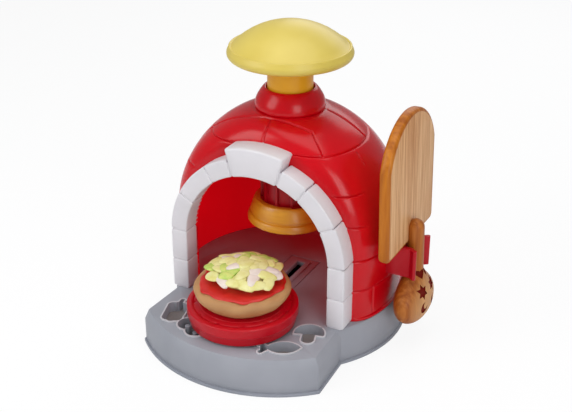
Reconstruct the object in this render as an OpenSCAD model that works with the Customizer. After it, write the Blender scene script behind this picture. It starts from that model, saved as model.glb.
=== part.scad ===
// Toy oven for modelling dough: a domed oven on a grey base, with a push-down dough press,
// a sliding pan, a dough pizza and a peel that hangs in a side clip.
// Millimetres. The origin is on the dome's axis at table level, +Z is up, the doorway faces -Y.

/* [Base] */
// Height of the deck above the table
deck_z = 27.5; // [24:0.5:34]
// Radius of the round part of the base, at the deck
base_r = 87.2; // [87:0.1:95]
// How much wider the round part is at the table
base_flare = 1.8; // [0:0.1:3]
// Thickness of the base's walls and deck
base_wall = 2.4; // [1.8:0.1:3]
// Thickness of the bottom plate
plate_t = 2.2; // [1.6:0.1:3]
// How far the bottom plate stands out all round
plate_lip = 1.2; // [0.4:0.1:2]
// Radius of the apron's curved front edge
apron_r = 103; // [95:1:115]
// Distance from the dome's axis to the apron's front edge
apron_reach = 123.1; // [120:0.5:130]
// Half the apron's width where it leaves the round base
apron_half = 69; // [66:0.5:74]
// Angle by which each apron side spreads towards the front
apron_splay = 2.6; // [0:0.1:5]
// Height of the sloping band round the apron's top
apron_bevel_h = 7.5; // [3:0.5:9]
// How far that band leans in
apron_bevel_in = 3; // [1:0.1:4]

/* [Topping moulds] */
// Depth of each mould below the deck
mould_depth = 7; // [5:0.5:10]
// Width of the raised rim round each mould
mould_rim = 1.2; // [0.8:0.1:2]
// Height of the raised rims on the deck
rim_h = 1; // [0.4:0.1:1.5]
// Radius of one olive ring
olive_r = 7.2; // [6.5:0.1:8]
// Radius of the post in the middle of an olive ring
olive_post_r = 2.1; // [1.5:0.1:2.4]

/* [Dome] */
// Outside radius of the dome
dome_r = 85; // [84:0.5:86]
// Height of the dome's round part above its straight wall
dome_h = 90; // [85:0.5:95]
// Level at which the straight wall ends
dome_zc = 81.5; // [78:0.5:84]
// Thickness of the dome
dome_wall = 2.5; // [2:0.1:3]
// Distance from the dome's axis to its flat front
front_y = 39; // [37:0.5:42]
// Radius of the flat seat for the collar on top
crown_r = 27; // [26:0.5:29]
// Width of the joints between the bricks
joint_w = 1.8; // [1:0.1:2.4]
// Depth of the joints between the bricks
joint_d = 1; // [0.4:0.1:1.4]

/* [Archway] */
// Radius of the doorway
door_r = 57.3; // [54:0.1:59]
// Level at which the doorway's sides turn into the round
spring_z = 74.3; // [68:0.1:78]
// Width of the white bricks, seen from the front
brick_w = 13.2; // [11:0.1:15]
// Depth of the arch, front to back
arch_depth = 16.5; // [12:0.5:20]
// How far the keystone stands above its neighbours
key_rise = 8.3; // [4:0.1:9]
// How far the keystone stands out in front
key_proud = 1; // [0:0.1:2]
// Half the keystone's angle
key_half = 17; // [12:0.5:20]
// Thickness of the arch's skin
arch_wall = 2.3; // [2:0.1:3]

/* [Press] */
// Radius of the knob
knob_r = 45; // [40:0.5:50]
// Level of the knob's underside
knob_z = 203; // [202:0.5:208]
// Height of the knob
knob_h = 26; // [22:0.5:30]
// Thickness of the knob's skin
knob_wall = 2.4; // [2:0.1:3]
// Radius of the stem
stem_r = 16.5; // [14:0.1:17]
// Thickness of the stem's wall
stem_wall = 2.4; // [2:0.1:3]
// How far the knob can be pushed down
press_travel = 20; // [10:0.5:20]
// Radius of the collar at its widest
collar_r = 25.6; // [25.4:0.1:27]
// Height of the collar above its seat
collar_h = 15.2; // [12:0.1:15.5]
// Radius of the collar's opening
collar_bore_r = 17.2; // [16.9:0.1:17.4]
// Inside radius of the barrel
bore_r = 17.5; // [17.3:0.05:18]
// Thickness of the barrel's wall
barrel_wall = 2.5; // [2:0.1:3]
// Number of ribs on the barrel
barrel_ribs = 12; // [6:1:16]
// Level of the barrel's lower end
barrel_z = 84.3; // [83:0.1:88]
// Height of the piston
piston_h = 8; // [7:0.5:10]
// Level of the piston's underside at rest
piston_z = 106; // [105.5:0.5:110]

/* [Nozzle] */
// Level of the nozzle cup's lower edge
cup_z = 78; // [77.5:0.1:79]
// Height of the nozzle cup
cup_h = 17.8; // [16:0.1:19]
// Radius of the nozzle cup at its upper edge
cup_top_r = 26.6; // [26.4:0.1:28]
// Radius of the nozzle cup at its lower edge
cup_low_r = 31.8; // [30:0.1:33]
// Thickness of the die disc
die_t = 2; // [1.5:0.1:2.2]
// How far the nozzle cup turns to come off
cup_angle = 45; // [30:1:60]

/* [Pan and pizza] */
// Distance from the dome's axis to the pan's middle at rest
pan_y = 73.6; // [70:0.1:76]
// Radius of the pan
pan_r = 40; // [37:0.1:42]
// Level of the pan's upper edge
pan_top = 43.5; // [42:0.1:45]
// Thickness of the pan's skin
pan_wall = 2.2; // [1.8:0.1:3]
// Radius of the plate in the pan
insert_r = 35; // [33:0.1:36]
// Thickness of the plate in the pan
insert_t = 3; // [2:0.1:4]
// Width of the floor slot
slot_w = 6.4; // [5:0.1:8]
// Width of the raised rim on each side of the floor slot
slot_rim = 3.8; // [3:0.1:5]
// Length of the keel under the pan
keel_len = 37; // [30:0.5:39]
// Width of the keel's flange under the deck
flange_w = 13; // [11:0.1:15]
// Radius of the pizza's crust
crust_r = 35; // [30:0.5:35]
// Thickness of the pizza's crust
crust_t = 12.5; // [10:0.1:13]
// Mean radius of the sauce
sauce_r = 29.5; // [25:0.5:30]
// Thickness of the sauce
sauce_t = 1.8; // [1:0.1:2.4]
// Radius of the heap of toppings
cheese_r = 27.5; // [20:0.5:28]
// Height of the heap of toppings
cheese_h = 14; // [8:0.5:15]

/* [Peel and clip] */
// Distance from the dome's axis to the peel's rod
peel_x = 101.5; // [101:0.1:104]
// Radius of the peel's rod
rod_r = 6.2; // [5:0.1:6.5]
// Level of the board's lower edge
board_z = 81; // [78:0.1:84]
// Height of the board
board_h = 99; // [85:0.5:105]
// Width of the board
board_w = 86; // [70:0.5:95]
// Thickness of the board
board_t = 8; // [7:0.1:10]
// How far the rod's axis lies outside the board's outer face
rod_proud = 3.5; // [2:0.1:5]
// Angle by which the peel leans towards the dome
peel_lean = 1.4; // [0:0.1:2]
// Half the handle's width
handle_b = 25.5; // [18:0.5:27]
// Half the handle's thickness
handle_a = 12.3; // [10:0.1:12.6]
// Level of the handle's lower end
handle_low = 17.4; // [16:0.1:19]
// Height of the clip
clip_h = 23; // [16:0.5:24]
// Thickness of the clip's fingers
finger_t = 3; // [2:0.1:4]
// Half the gap between the clip's fingers
clip_gap = 9.4; // [9.4:0.1:11]

/* [Fits] */
// Gap on each side of a piece that slides or hangs
slide_gap = 0.3; // [0.2:0.05:0.5]
// Gap between the piston's seal and the barrel
seal_gap = 0.05; // [0.02:0.01:0.1]
// Gap round a screw in its own hole
thread_gap = 0.05; // [0.02:0.01:0.1]
// Gap round a screw in a hole that it passes through
pass_gap = 0.3; // [0.2:0.05:0.5]
// Radius of the screws
screw_r = 1.3; // [1:0.1:1.5]
// Radius of the screw heads
head_r = 2.6; // [2.2:0.1:3]
// Height of the screw heads
head_h = 1.8; // [1.2:0.1:2]
// Radius of the screw bosses
boss_r = 3.4; // [3:0.1:3.8]

/* [Hidden] */
$fn = 96;
eps = 0.01;
far = 200;
bar_side = 0.98;

// Base
deck_low = deck_z - base_wall;
apron_cy = apron_reach - apron_r;
apron_back = 6;
apron_side_x = apron_half - (52 + apron_back) * tan(apron_splay);
bevel_z = deck_z - apron_bevel_h;
bevel_step = 0.4;
plinth_edge = 1.4;
mould_wall = 1.8;
base_boss_at = [[62, -47], [-62, -47], [14, -113], [-14, -113], [30, 78], [-30, 78]];
base_screw_len = 12;
head_seat = 0.8;
head_under = 0.3;

// Moulds
pepper_at = [-49, -86];
pepper_turn = 14.9;
pepper_r = 4.3;
olive_at = [[-31.5, -98.2], [-22.2, -103]];
fish_at = [42, -94.5];
fish_turn = 28.2;
fish_r = 13.8;
fish_half = 7;
mushroom_at = [51, -69];
mushroom_turn = 17;
mushroom_r = 10.7;

// Dome
crown_z = dome_zc + dome_h * sqrt(1 - pow(crown_r / dome_r, 2));
foot_rim = 1.2;
foot_rim_h = 2;
dome_boss_h = 12;
dome_boss_ring = dome_r - dome_wall - boss_r + 0.6;
dome_boss_az = [-15, 50, 130, 195];
dome_steps = 24;
// Levels of the joints between the courses, from the top down, and of the upright joints' ends.
level = [148.5, 123.4, 112, 101.6, 76, 52];
joint_top = 166.5;
joint_low = 29.5;
// Each course is a level and the stretches of azimuth that its joint covers.
courses = [
  [level[0], [[0, 360]]],
  [level[1], [[-205, -143], [-42, -22], [60, 110]]],
  [level[2], [[30, 62], [118, 150]]],
  [level[3], [[-42, -24], [40, 95], [150, 200]]],
  [level[4], [[-40, 8], [62, 118], [160, 206]]],
  [level[5], [[-38, 30], [70, 140], [170, 200]]]
];
// Each upright joint is an azimuth, a lower level and an upper level.
uprights = [
  for (az = [-90, 11, 62, 112, 160]) [az, level[0], joint_top],
  [-40, level[0], 160.8],
  [-10.5, 141, level[0]],
  for (az = [40, 85, 135, 180]) [az, level[1], level[0]],
  for (az = [20, 60, 105, -205]) [az, level[3], level[1]],
  for (az = [70, 190]) [az, level[4], level[3]],
  for (az = [30, 118, 160]) [az, level[5], level[4]],
  for (az = [-18, 95, 150]) [az, joint_low, level[5]]
];
// The joint that bows over the doorway, seen from above: its place in front of the axis, its radius,
// its ends in X and its lowest level.
bow_front = 28;
bow_r = 227;
bow_from = -76;
bow_to = 30;
bow_low = level[1];

// Archway
arch_r = door_r + brick_w;
arch_back = -front_y;
arch_front = arch_back - arch_depth;
arch_mid_r = door_r + brick_w / 2;
brick_angles = [35.5, 62.2, 88.5];
leg_joint_z = 51;
notch_w = 1.8;
notch_d = 1.2;
arch_screw_len = 9;
arch_screw_az = 45;
arch_screw_low = 40;

// Press
seat_z = crown_z;
barrel_top = crown_z - dome_wall;
barrel_r = bore_r + barrel_wall;
barrel_flange_r = crown_r - 1;
barrel_flange_t = 2.5;
barrel_rib = 2;
rib_w = 1.6;
barrel_screw_ring = 22.2;
barrel_boss_r = 2.5;
barrel_screw_len = 11;
head_room = 12;
spigot_r = 22;
lug_r = spigot_r + 2;
lug_z = barrel_z + 3.6;
lug_h = 3;
lug_angle = 28;
stem_foot = piston_z + piston_h;
stem_flange_r = 21;
stem_flange_t = 1.8;
stem_top = knob_z + 2.3 + stem_flange_t;
stem_web = 3;
stem_boss_r = 4.6;
stem_boss_h = 18;
stem_screw_len = 14;
piston_r = bore_r - 0.5;
seal_h = 3;
seal_in_r = bore_r - 2.6;
under_t = 2.3;
knob_ridge_z = knob_z + 8.7;
knob_ridge_r = knob_r - 1.6;
knob_screw_ring = 32;
knob_screw_len = 9;
cap_crown_r = (pow(knob_ridge_r - 1.5, 2) + pow(knob_h - 8.7, 2)) / (2 * (knob_h - 8.7));

// Nozzle
cup_bore_r = spigot_r + slide_gap;
die_z = barrel_z - slide_gap - die_t;
die_r = cup_bore_r - slide_gap;
mouth_r = 18;
track_r = lug_r + slide_gap;

// Pan
rest_gap = 0.3;
pan_low = deck_z + rim_h + rest_gap;
pan_floor = pan_top - 2;
keel_w = slot_w - 0.4;
flange_t = 2.5;
slot_front = pan_y + keel_len / 2 + slide_gap;
slot_back = keel_len / 2 + slide_gap + 0.4;
panel_half = 13;
panel_back = 28;
panel_line = 0.8;
slider_screw_gap = 20;
slider_screw_len = 13;
insert_z = pan_top + 1 - insert_t;
crust_z = insert_z + insert_t;
crust_foot_r = crust_r - 8;
crust_lip = 3.4;
sauce_z = crust_z + crust_t;
cheese_z = sauce_z + sauce_t;

// Peel and clip
board_out = peel_x - rod_proud;
board_in = board_out - board_t;
board_arc_h = 32;
board_corner = 5;
rod_top = 99;
handle_mid = handle_low + 17;
handle_top = handle_low + 45.6;
neck_in = 0.8;
neck_z = handle_top - 8;
clip_top = board_z - 0.45;
clip_low = clip_top - clip_h;
finger_tip_x = peel_x + 5.6;
clip_back_x = peel_x - rod_r - 3.8;
flare = 2.5;
clip_screw_z = [clip_low + 6, clip_top - 6];
clip_screw_len = 5.5;
// Each stamp's level, its distance from the middle and how far out its floor lies.
heart_at = [handle_low + 39.9, 4.6, 4];
star_at = [handle_low + 28.3, 8, 8.2];
crescent_at = [handle_low + 16, 8, 10.2];
star_r = 5.8;
crescent_r = 4.2;

// A flat shape: a bar with round ends from p to q, its sides a hair inside the ends' full width.
module bar2d(p, q, r) {
  d = q - p;
  translate(p) circle(r);
  translate(q) circle(r);
  translate(p) rotate(atan2(d.y, d.x)) translate([0, -bar_side * r]) square([norm(d), 2 * bar_side * r]);
}

// One screw pointing up, its head's upper face at z = 0, with a cross cut in the head.
module screw(len) {
  cylinder(h = len, r = screw_r);
  difference() {
    translate([0, 0, -head_h]) cylinder(h = head_h, r = head_r);
    for (a = [0, 90])
      rotate(a) translate([-head_r * 0.6, -0.35, -head_h - eps]) cube([head_r * 1.2, 0.7, 1]);
  }
}

// Hole of a screw's own thread, pointing up from z = 0.
module pilot(len) {
  translate([0, 0, -eps]) cylinder(h = len + 1, r = screw_r + thread_gap);
}

// Hole that a screw passes through, pointing up from z = 0.
module pass_hole(len) {
  translate([0, 0, -eps]) cylinder(h = len + 2 * eps, r = screw_r + pass_gap);
}

// Radius of the round base at a level.
function plinth_r(z) = base_r + base_flare * (deck_z - z) / deck_z;

// Section of the apron's edge between two levels, from x = from to the wall at x = to. Its sloping
// band starts at a level of its own, start.
function apron_edge(z0, z1, from, to, start) =
  [[from, z0], [to, z0], [to, start],
   [to - apron_bevel_in * (z1 - start) / (deck_z - start), z1], [from, z1]];

// One side of the apron: everything on the inner side of its sloping edge.
module apron_side(grow, z0, z1) {
  translate([apron_side_x + grow, apron_back + grow, 0])
    rotate([0, 0, apron_splay])
      rotate([90, 0, 0]) linear_extrude(far) polygon(apron_edge(z0, z1, -far, 0, bevel_z));
}

// Section of the round base between two levels, its upper edge eased at the deck.
function plinth_section(grow, z0, z1) = z1 >= deck_z
  ? [[0, z0], [plinth_r(z0) + grow, z0], [plinth_r(z1) + grow, z1 - plinth_edge],
     [plinth_r(z1) + grow - plinth_edge * 0.6, z1], [0, z1]]
  : [[0, z0], [plinth_r(z0) + grow, z0], [plinth_r(z1) + grow, z1], [0, z1]];

// The round base between two levels, grown by a distance to the sides.
module plinth_form(grow, z0, z1) {
  rotate_extrude() polygon(plinth_section(grow, z0, z1));
}

// The apron in front of it, between the same levels. A plate below the band has upright sides.
module apron_form(grow, z0, z1) {
  if (z1 > bevel_z)
    intersection() {
      apron_side(grow, z0, z1);
      mirror([1, 0, 0]) apron_side(grow, z0, z1);
      translate([0, -apron_cy, 0])
        rotate_extrude() polygon(apron_edge(z0, z1, 0, apron_r + grow, bevel_z - bevel_step));
    }
  else
    translate([0, 0, z0]) linear_extrude(z1 - z0) apron2d(grow);
}

// One side of the apron's outline at the table.
module apron_side2d(grow) {
  translate([apron_side_x + grow, apron_back + grow])
    rotate(apron_splay) translate([-far, -far]) square(far);
}

// The apron's outline at the table.
module apron2d(grow) {
  intersection() {
    apron_side2d(grow);
    mirror([1, 0]) apron_side2d(grow);
    translate([0, -apron_cy]) circle(apron_r + grow);
  }
}

// The space under the deck, all of it.
module base_space() {
  plinth_form(-base_wall, plate_t - eps, deck_low);
  apron_form(-base_wall, plate_t - eps, deck_low);
}

// Walls and deck: each half is hollowed before the two are joined.
module base_shell() {
  difference() {
    plinth_form(0, plate_t, deck_z);
    base_space();
  }
  difference() {
    apron_form(0, plate_t, deck_z);
    base_space();
  }
}

// Outline of the bell pepper mould.
module pepper2d(grow) {
  translate(pepper_at) rotate(pepper_turn) {
    for (side = [-1, 1])
      bar2d([side * 3.2, -10.2], [side * 3.7, 5.4], pepper_r + grow);
    bar2d([0, -11.4], [0, 6.6], pepper_r + grow);
    bar2d([0, 9], [0.8, 14], 1.6 + grow);
  }
}

// Outline of the two olive rings.
module olives2d(grow) {
  for (p = olive_at)
    translate(p) circle(olive_r + grow);
}

// Outline of the fish mould: a lens with a forked tail.
module fish2d(grow) {
  translate(fish_at) rotate(fish_turn) {
    intersection() {
      translate([1.5, fish_r - fish_half]) circle(fish_r + grow);
      translate([1.5, fish_half - fish_r]) circle(fish_r + grow);
    }
    for (side = [-1, 1])
      bar2d([-9.5, 0], [-14.5, side * 4.6], 1.7 + grow);
    polygon([[-9.5, 0], [-14.5, 4.6], [-14.5, -4.6]]);
  }
}

// Outline of the mushroom mould: a half disc on a short stalk.
module mushroom2d(grow) {
  translate(mushroom_at) rotate(mushroom_turn) {
    intersection() {
      circle(mushroom_r + grow);
      translate([-far / 2, -2.3 - grow]) square([far, far]);
    }
    bar2d([0, -8.6], [0, 0], 4.5 + grow);
  }
}

module moulds2d(grow) {
  pepper2d(grow);
  olives2d(grow);
  fish2d(grow);
  mushroom2d(grow);
}

// Outline of the floor slot.
module slot2d(grow) {
  translate([-slot_w / 2 - grow, -slot_front - grow])
    square([slot_w + 2 * grow, slot_front + slot_back + 2 * grow]);
}

// Outline of the panel line round the floor slot.
module panel2d(grow) {
  translate([-panel_half - grow, -slot_front - grow])
    square([2 * (panel_half + grow), slot_front + panel_back + 2 * grow]);
}

module base_tray() {
  color("#a3a9b4")
  difference() {
    union() {
      base_shell();
      translate([0, 0, deck_low - mould_depth + base_wall - mould_wall])
        linear_extrude(mould_depth + mould_wall - eps) moulds2d(mould_wall);
      translate([0, 0, deck_z - eps]) linear_extrude(rim_h + eps) moulds2d(mould_rim);
      translate([0, 0, deck_z - eps]) linear_extrude(rim_h + eps) slot2d(slot_rim);
      for (p = base_boss_at)
        translate([p.x, p.y, plate_t]) cylinder(h = deck_low - plate_t + eps, r = boss_r);
    }
    difference() {
      translate([0, 0, deck_z - mould_depth]) linear_extrude(mould_depth + 2 * rim_h) moulds2d(0);
      for (p = olive_at)
        translate([p.x, p.y, deck_z - mould_depth - 1]) cylinder(h = mould_depth, r = olive_post_r);
    }
    translate([0, 0, deck_low - 1]) linear_extrude(base_wall + rim_h + 2) slot2d(0);
    translate([0, 0, deck_z - 0.6])
      linear_extrude(1)
        difference() {
          panel2d(0);
          panel2d(-panel_line);
        }
    for (p = base_boss_at)
      translate([p.x, p.y, plate_t]) pilot(base_screw_len - plate_t);
    for (az = dome_boss_az)
      rotate(az) translate([dome_boss_ring, 0, deck_low]) pass_hole(base_wall);
  }
}

module bottom_plate() {
  color("#8d949f")
  difference() {
    union() {
      plinth_form(plate_lip, 0, plate_t);
      apron_form(plate_lip, 0, plate_t);
    }
    for (p = base_boss_at)
      translate([p.x, p.y, 0]) {
        pass_hole(plate_t);
        translate([0, 0, -eps]) cylinder(h = plate_t - head_seat + eps, r = head_r + pass_gap);
      }
  }
}

module base_screws() {
  color("#c2c4c8")
  for (p = base_boss_at)
    translate([p.x, p.y, plate_t - 0.8]) short_head() screw(base_screw_len - 1);
}

// Shortens a screw's head so that it sits inside the bottom plate.
module short_head() {
  intersection() {
    children();
    translate([-far / 2, -far / 2, head_under - plate_t + head_seat]) cube(far);
  }
}

// Points of the dome's section from the straight wall up to the top.
function dome_curve(inset) = [for (i = [0:dome_steps - 1])
  [(dome_r - inset) * cos(90 * i / dome_steps), dome_zc + (dome_h - inset) * sin(90 * i / dome_steps)]];

// The dome as a solid of revolution, inset all over and cut off at a level.
module dome_solid(inset, low, top) {
  rotate_extrude()
    intersection() {
      polygon(concat([[0, low], [dome_r - inset, low]], dome_curve(inset), [[0, dome_zc + dome_h - inset]]));
      square([far, top]);
    }
}

// Radius of the dome at a level.
function dome_radius(z) = z <= dome_zc ? dome_r : dome_r * sqrt(1 - pow((z - dome_zc) / dome_h, 2));

// Lean of the dome's skin at a level: 0 on the wall, 90 on top.
function dome_lean(z) = z <= dome_zc ? 0
  : atan2((z - dome_zc) * dome_r, dome_radius(z) / dome_r * dome_h * dome_h);

// The outline of the doorway, standing up in X and Z.
module door2d(r, low) {
  intersection() {
    translate([0, spring_z]) circle(r);
    translate([-far / 2, low]) square(far);
  }
  translate([-r, low]) square([2 * r, spring_z - low]);
}

// A flat outline in X and Z made into a solid between two distances in front.
module upright(y0, y1) {
  translate([0, y1, 0]) rotate([90, 0, 0]) linear_extrude(y1 - y0) children();
}

// The joints between the dome's bricks, as cutters.
module dome_joints() {
  for (c = courses)
    for (s = c[1])
      rotate(s[0])
        rotate_extrude(angle = s[1] - s[0])
          translate([dome_radius(c[0]), c[0]])
            rotate(dome_lean(c[0]))
              square([2 * joint_d, joint_w], center = true);
  difference() {
    union() {
      for (u = uprights)
        rotate(u[0]) translate([20, -joint_w / 2, u[1]]) cube([far / 2, joint_w, u[2] - u[1]]);
      bow_joint();
    }
    dome_solid(joint_d, deck_z, far);
  }
}

// The joint that bows over the doorway, as an upright wall.
module bow_joint() {
  translate([0, 0, bow_low])
    linear_extrude(far)
      intersection() {
        translate([0, -bow_front - bow_r])
          difference() {
            circle(bow_r + joint_w / 2);
            circle(bow_r - joint_w / 2);
          }
        translate([bow_from, -far]) square([bow_to - bow_from, far]);
      }
}

module dome_shell() {
  color("#c8102e")
  difference() {
    union() {
      difference() {
        union() {
          dome_solid(0, deck_z, crown_z);
          translate([0, 0, deck_z]) cylinder(h = foot_rim_h, r = dome_r + foot_rim);
        }
        dome_joints();
        translate([-far / 2, -far - front_y, 0]) cube([far, far, far]);
        intersection() {
          dome_solid(dome_wall, deck_z - 1, crown_z - dome_wall);
          translate([-far / 2, dome_wall - front_y, 0]) cube([far, far, far]);
        }
      }
      for (az = dome_boss_az)
        rotate(az) translate([dome_boss_ring, 0, deck_z]) rotate(180) cylinder(h = dome_boss_h, r = boss_r);
    }
    upright(-front_y - 1, dome_wall - front_y + 0.5) door2d(door_r, 0);
    translate([0, 0, crown_z - dome_wall - 1]) cylinder(h = dome_wall + 2, r = collar_bore_r + 0.6);
    for (az = dome_boss_az)
      rotate(az) translate([dome_boss_ring, 0, deck_z]) pilot(dome_boss_h - 3);
    for (a = [0:90:270])
      rotate(a + 45) translate([barrel_screw_ring, 0, crown_z - dome_wall]) pass_hole(dome_wall);
    for (z = clip_screw_z)
      translate([dome_r - dome_wall - 1, 0, z]) rotate([0, 90, 0]) pass_hole(dome_wall + 1);
    arch_screw_places() translate([0, 0, -1]) pass_hole(dome_wall + 2);
  }
}

module dome_screws() {
  color("#c2c4c8")
  for (az = dome_boss_az)
    rotate(az) translate([dome_boss_ring, 0, deck_low]) screw(base_wall + dome_boss_h - 4);
}

// Puts a piece at each of the arch's screws, its +Z pointing out of the dome towards the front,
// with z = 0 on the inside of the dome's flat front.
module arch_screw_places() {
  for (side = [-1, 1]) {
    translate([side * arch_mid_r * sin(arch_screw_az), dome_wall - front_y,
        spring_z + arch_mid_r * cos(arch_screw_az)])
      rotate([90, 0, 0]) children();
    translate([side * arch_mid_r, dome_wall - front_y, arch_screw_low]) rotate([90, 0, 0]) children();
  }
}

// The arch's outline: a band of one width round the doorway.
module arch2d(inset) {
  difference() {
    door2d(arch_r - inset, deck_z);
    door2d(door_r + inset, deck_z - 1);
  }
}

// The keystone's outline.
module key2d(inset) {
  top = arch_r + key_rise - inset;
  translate([0, spring_z])
    intersection() {
      difference() {
        circle(top);
        circle(door_r + inset);
      }
      polygon([[0, 0], [-far * sin(key_half - inset * 0.8), far * cos(key_half - inset * 0.8)],
        [far * sin(key_half - inset * 0.8), far * cos(key_half - inset * 0.8)]]);
    }
}

// The joints between the arch's bricks, as cutters.
module arch_joints() {
  difference() {
    upright(arch_front - 3, arch_back + 1)
      union() {
        for (side = [-1, 1]) {
          for (a = concat([key_half + 0.9], brick_angles))
            translate([0, spring_z])
              rotate(side * a)
                translate([-notch_w / 2, door_r - 2]) square([notch_w, brick_w + 4]);
          translate([side * arch_mid_r, leg_joint_z]) square([brick_w + 4, notch_w], center = true);
        }
      }
    upright(arch_front + notch_d, arch_back + 2) arch2d(notch_d);
    upright(arch_front - key_proud - 1, arch_back + 2) key2d(0);
  }
}

module door_arch() {
  color("#e9e7ec")
  difference() {
    union() {
      difference() {
        union() {
          upright(arch_front, arch_back) arch2d(0);
          upright(arch_front - key_proud, arch_back) key2d(0);
        }
        arch_joints();
        upright(arch_front + arch_wall, arch_back + 1)
          difference() {
            arch2d(arch_wall);
            translate([-far / 2, 0]) square([far, deck_z + arch_wall]);
          }
        upright(arch_front + arch_wall - key_proud, arch_back + 1) key2d(arch_wall);
      }
      arch_screw_places() translate([0, 0, dome_wall]) cylinder(h = arch_depth - 1, r = boss_r);
    }
    arch_screw_places() translate([0, 0, dome_wall]) pilot(arch_screw_len - dome_wall);
  }
}

module arch_screws() {
  color("#c2c4c8")
  arch_screw_places() screw(arch_screw_len);
}

module collar_ring() {
  lip = collar_bore_r + 1.6;
  color("#c8102e")
  difference() {
    union() {
      difference() {
        translate([0, 0, seat_z])
          rotate_extrude()
            polygon([[collar_bore_r, collar_h - 5], [collar_r - 3.2, 5], [collar_r - 3.2, 0],
              [collar_r - 0.6, 0],
              [collar_r, 2], [collar_r, 4], [collar_r - 0.7, 6.4], [collar_r - 2.4, 9.4],
              [collar_r - 4.6, 12.2], [lip + 0.6, collar_h - 0.9], [lip, collar_h],
              [collar_bore_r, collar_h]]);
      }
      for (a = [0:90:270])
        rotate(a + 45)
          translate([barrel_screw_ring, 0, seat_z]) cylinder(h = 8, r = barrel_boss_r);
    }
    for (a = [0:90:270])
      rotate(a + 45) translate([barrel_screw_ring, 0, seat_z]) pilot(barrel_screw_len - 5);
    translate([0, 0, seat_z - 1]) cylinder(h = far, r = collar_bore_r);
  }
}

module barrel() {
  color("#b50f28")
  difference() {
    union() {
      translate([0, 0, barrel_z]) cylinder(h = barrel_top - barrel_z, r = barrel_r);
      translate([0, 0, barrel_top - barrel_flange_t]) cylinder(h = barrel_flange_t, r = barrel_flange_r);
      translate([0, 0, barrel_z]) cylinder(h = cup_h - (barrel_z - cup_z), r = spigot_r);
      for (i = [0:barrel_ribs - 1])
        rotate(i * 360 / barrel_ribs)
          translate([bore_r + 1, -rib_w / 2, barrel_z + 1])
            cube([barrel_wall - 1 + barrel_rib, rib_w, barrel_top - barrel_z - 2]);
      for (a = [0, 180])
        rotate(a - lug_angle / 2)
          rotate_extrude(angle = lug_angle)
            translate([bore_r + 1, lug_z]) square([lug_r - bore_r - 1, lug_h]);
    }
    translate([0, 0, barrel_z - 1]) cylinder(h = barrel_top - barrel_z + 2, r = bore_r);
    for (a = [0:90:270])
      rotate(a + 45)
        translate([barrel_screw_ring, 0, barrel_top - barrel_flange_t]) {
          pass_hole(barrel_flange_t);
          translate([0, 0, -head_room]) cylinder(h = head_room, r = head_r + pass_gap);
        }
  }
}

module barrel_screws() {
  color("#c2c4c8")
  for (a = [0:90:270])
    rotate(a + 45)
      translate([barrel_screw_ring, 0, barrel_top - barrel_flange_t]) screw(barrel_screw_len - 1);
}

module nozzle_cup() {
  mouth_h = die_z - cup_z;
  groove = 1;
  color("#dd9a22")
  difference() {
    translate([0, 0, cup_z])
      rotate_extrude()
        polygon([[mouth_r, mouth_h], [mouth_r, mouth_h - 1.6], [cup_low_r - 3.2, 0],
          [cup_low_r - 0.8, 0], [cup_low_r, 0.8], [cup_low_r, 3],
          [cup_low_r - 1, 5.6], [cup_low_r - 1.4 - groove, 6.2], [cup_low_r - 1.6 - groove, 7.2],
          [cup_low_r - 1.8, 7.8], [cup_top_r + 1, cup_h - 3], [cup_top_r, cup_h - 0.8],
          [cup_top_r - 0.7, cup_h], [cup_bore_r, cup_h], [cup_bore_r, mouth_h]]);
    for (a = [0, 180])
      rotate(a) {
        rotate(-lug_angle / 2 - 1.5 - cup_angle)
          rotate_extrude(angle = lug_angle + 3 + cup_angle)
            translate([cup_bore_r - 1, lug_z - slide_gap])
              square([track_r - cup_bore_r + 1, lug_h + 2 * slide_gap]);
        rotate(-lug_angle / 2 - 1.5 - cup_angle)
          rotate_extrude(angle = lug_angle + 3)
            translate([cup_bore_r - 1, lug_z]) square([track_r - cup_bore_r + 1, far]);
      }
  }
}

module die_disc() {
  color("#f0c040")
  difference() {
    translate([0, 0, die_z]) cylinder(h = die_t, r = die_r);
    translate([0, 0, die_z - 1]) {
      cylinder(h = die_t + 2, r = 2.2);
      for (a = [0:60:300])
        rotate(a) translate([7.2, 0, 0]) cylinder(h = die_t + 2, r = 2.2);
      for (a = [0:30:330])
        rotate(a + 15) translate([13.4, 0, 0]) cylinder(h = die_t + 2, r = 2.2);
    }
  }
}

// Section of the knob's skin, inset all over.
module cap_section(inset) {
  crown = cap_crown_r - inset;
  cz = knob_z + knob_h - cap_crown_r;
  edge = knob_ridge_r - 1.5 - inset;
  half = asin(min(1, edge / crown));
  polygon(concat(
    [[0, knob_z - (inset > 0 ? 1 : 0)], [knob_r - 2.6 - inset, knob_z - (inset > 0 ? 1 : 0)],
     [knob_r - 0.8 - inset, knob_z + 1.6], [knob_r - inset, knob_z + 3.6], [knob_r - inset, knob_z + 5.4],
     [knob_r - 0.6 - inset, knob_z + 7.4], [knob_ridge_r - inset, knob_ridge_z + 0.6 - inset / 2],
     [knob_ridge_r - 0.9 - inset, knob_ridge_z + 0.7 - inset / 2]],
    [for (i = [0:11]) [crown * sin(half * (11 - i) / 11), cz + crown * cos(half * (11 - i) / 11)]]));
}

module knob_cap() {
  color("#e3c567")
  difference() {
    union() {
      difference() {
        rotate_extrude() cap_section(0);
        rotate_extrude() cap_section(knob_wall);
      }
      intersection() {
        rotate_extrude() cap_section(knob_wall / 2);
        union() {
          for (a = [0, 120, 240])
            rotate(a + 30) translate([knob_screw_ring, 0, knob_z + under_t]) cylinder(h = far, r = boss_r);
          translate([0, 0, stem_top])
            difference() {
              cylinder(h = far, r = stem_flange_r);
              translate([0, 0, -1]) cylinder(h = far + 2, r = stem_flange_r - 2);
            }
        }
      }
    }
    for (a = [0, 120, 240])
      rotate(a + 30) translate([knob_screw_ring, 0, knob_z + under_t]) pilot(knob_screw_len - under_t);
  }
}

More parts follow.
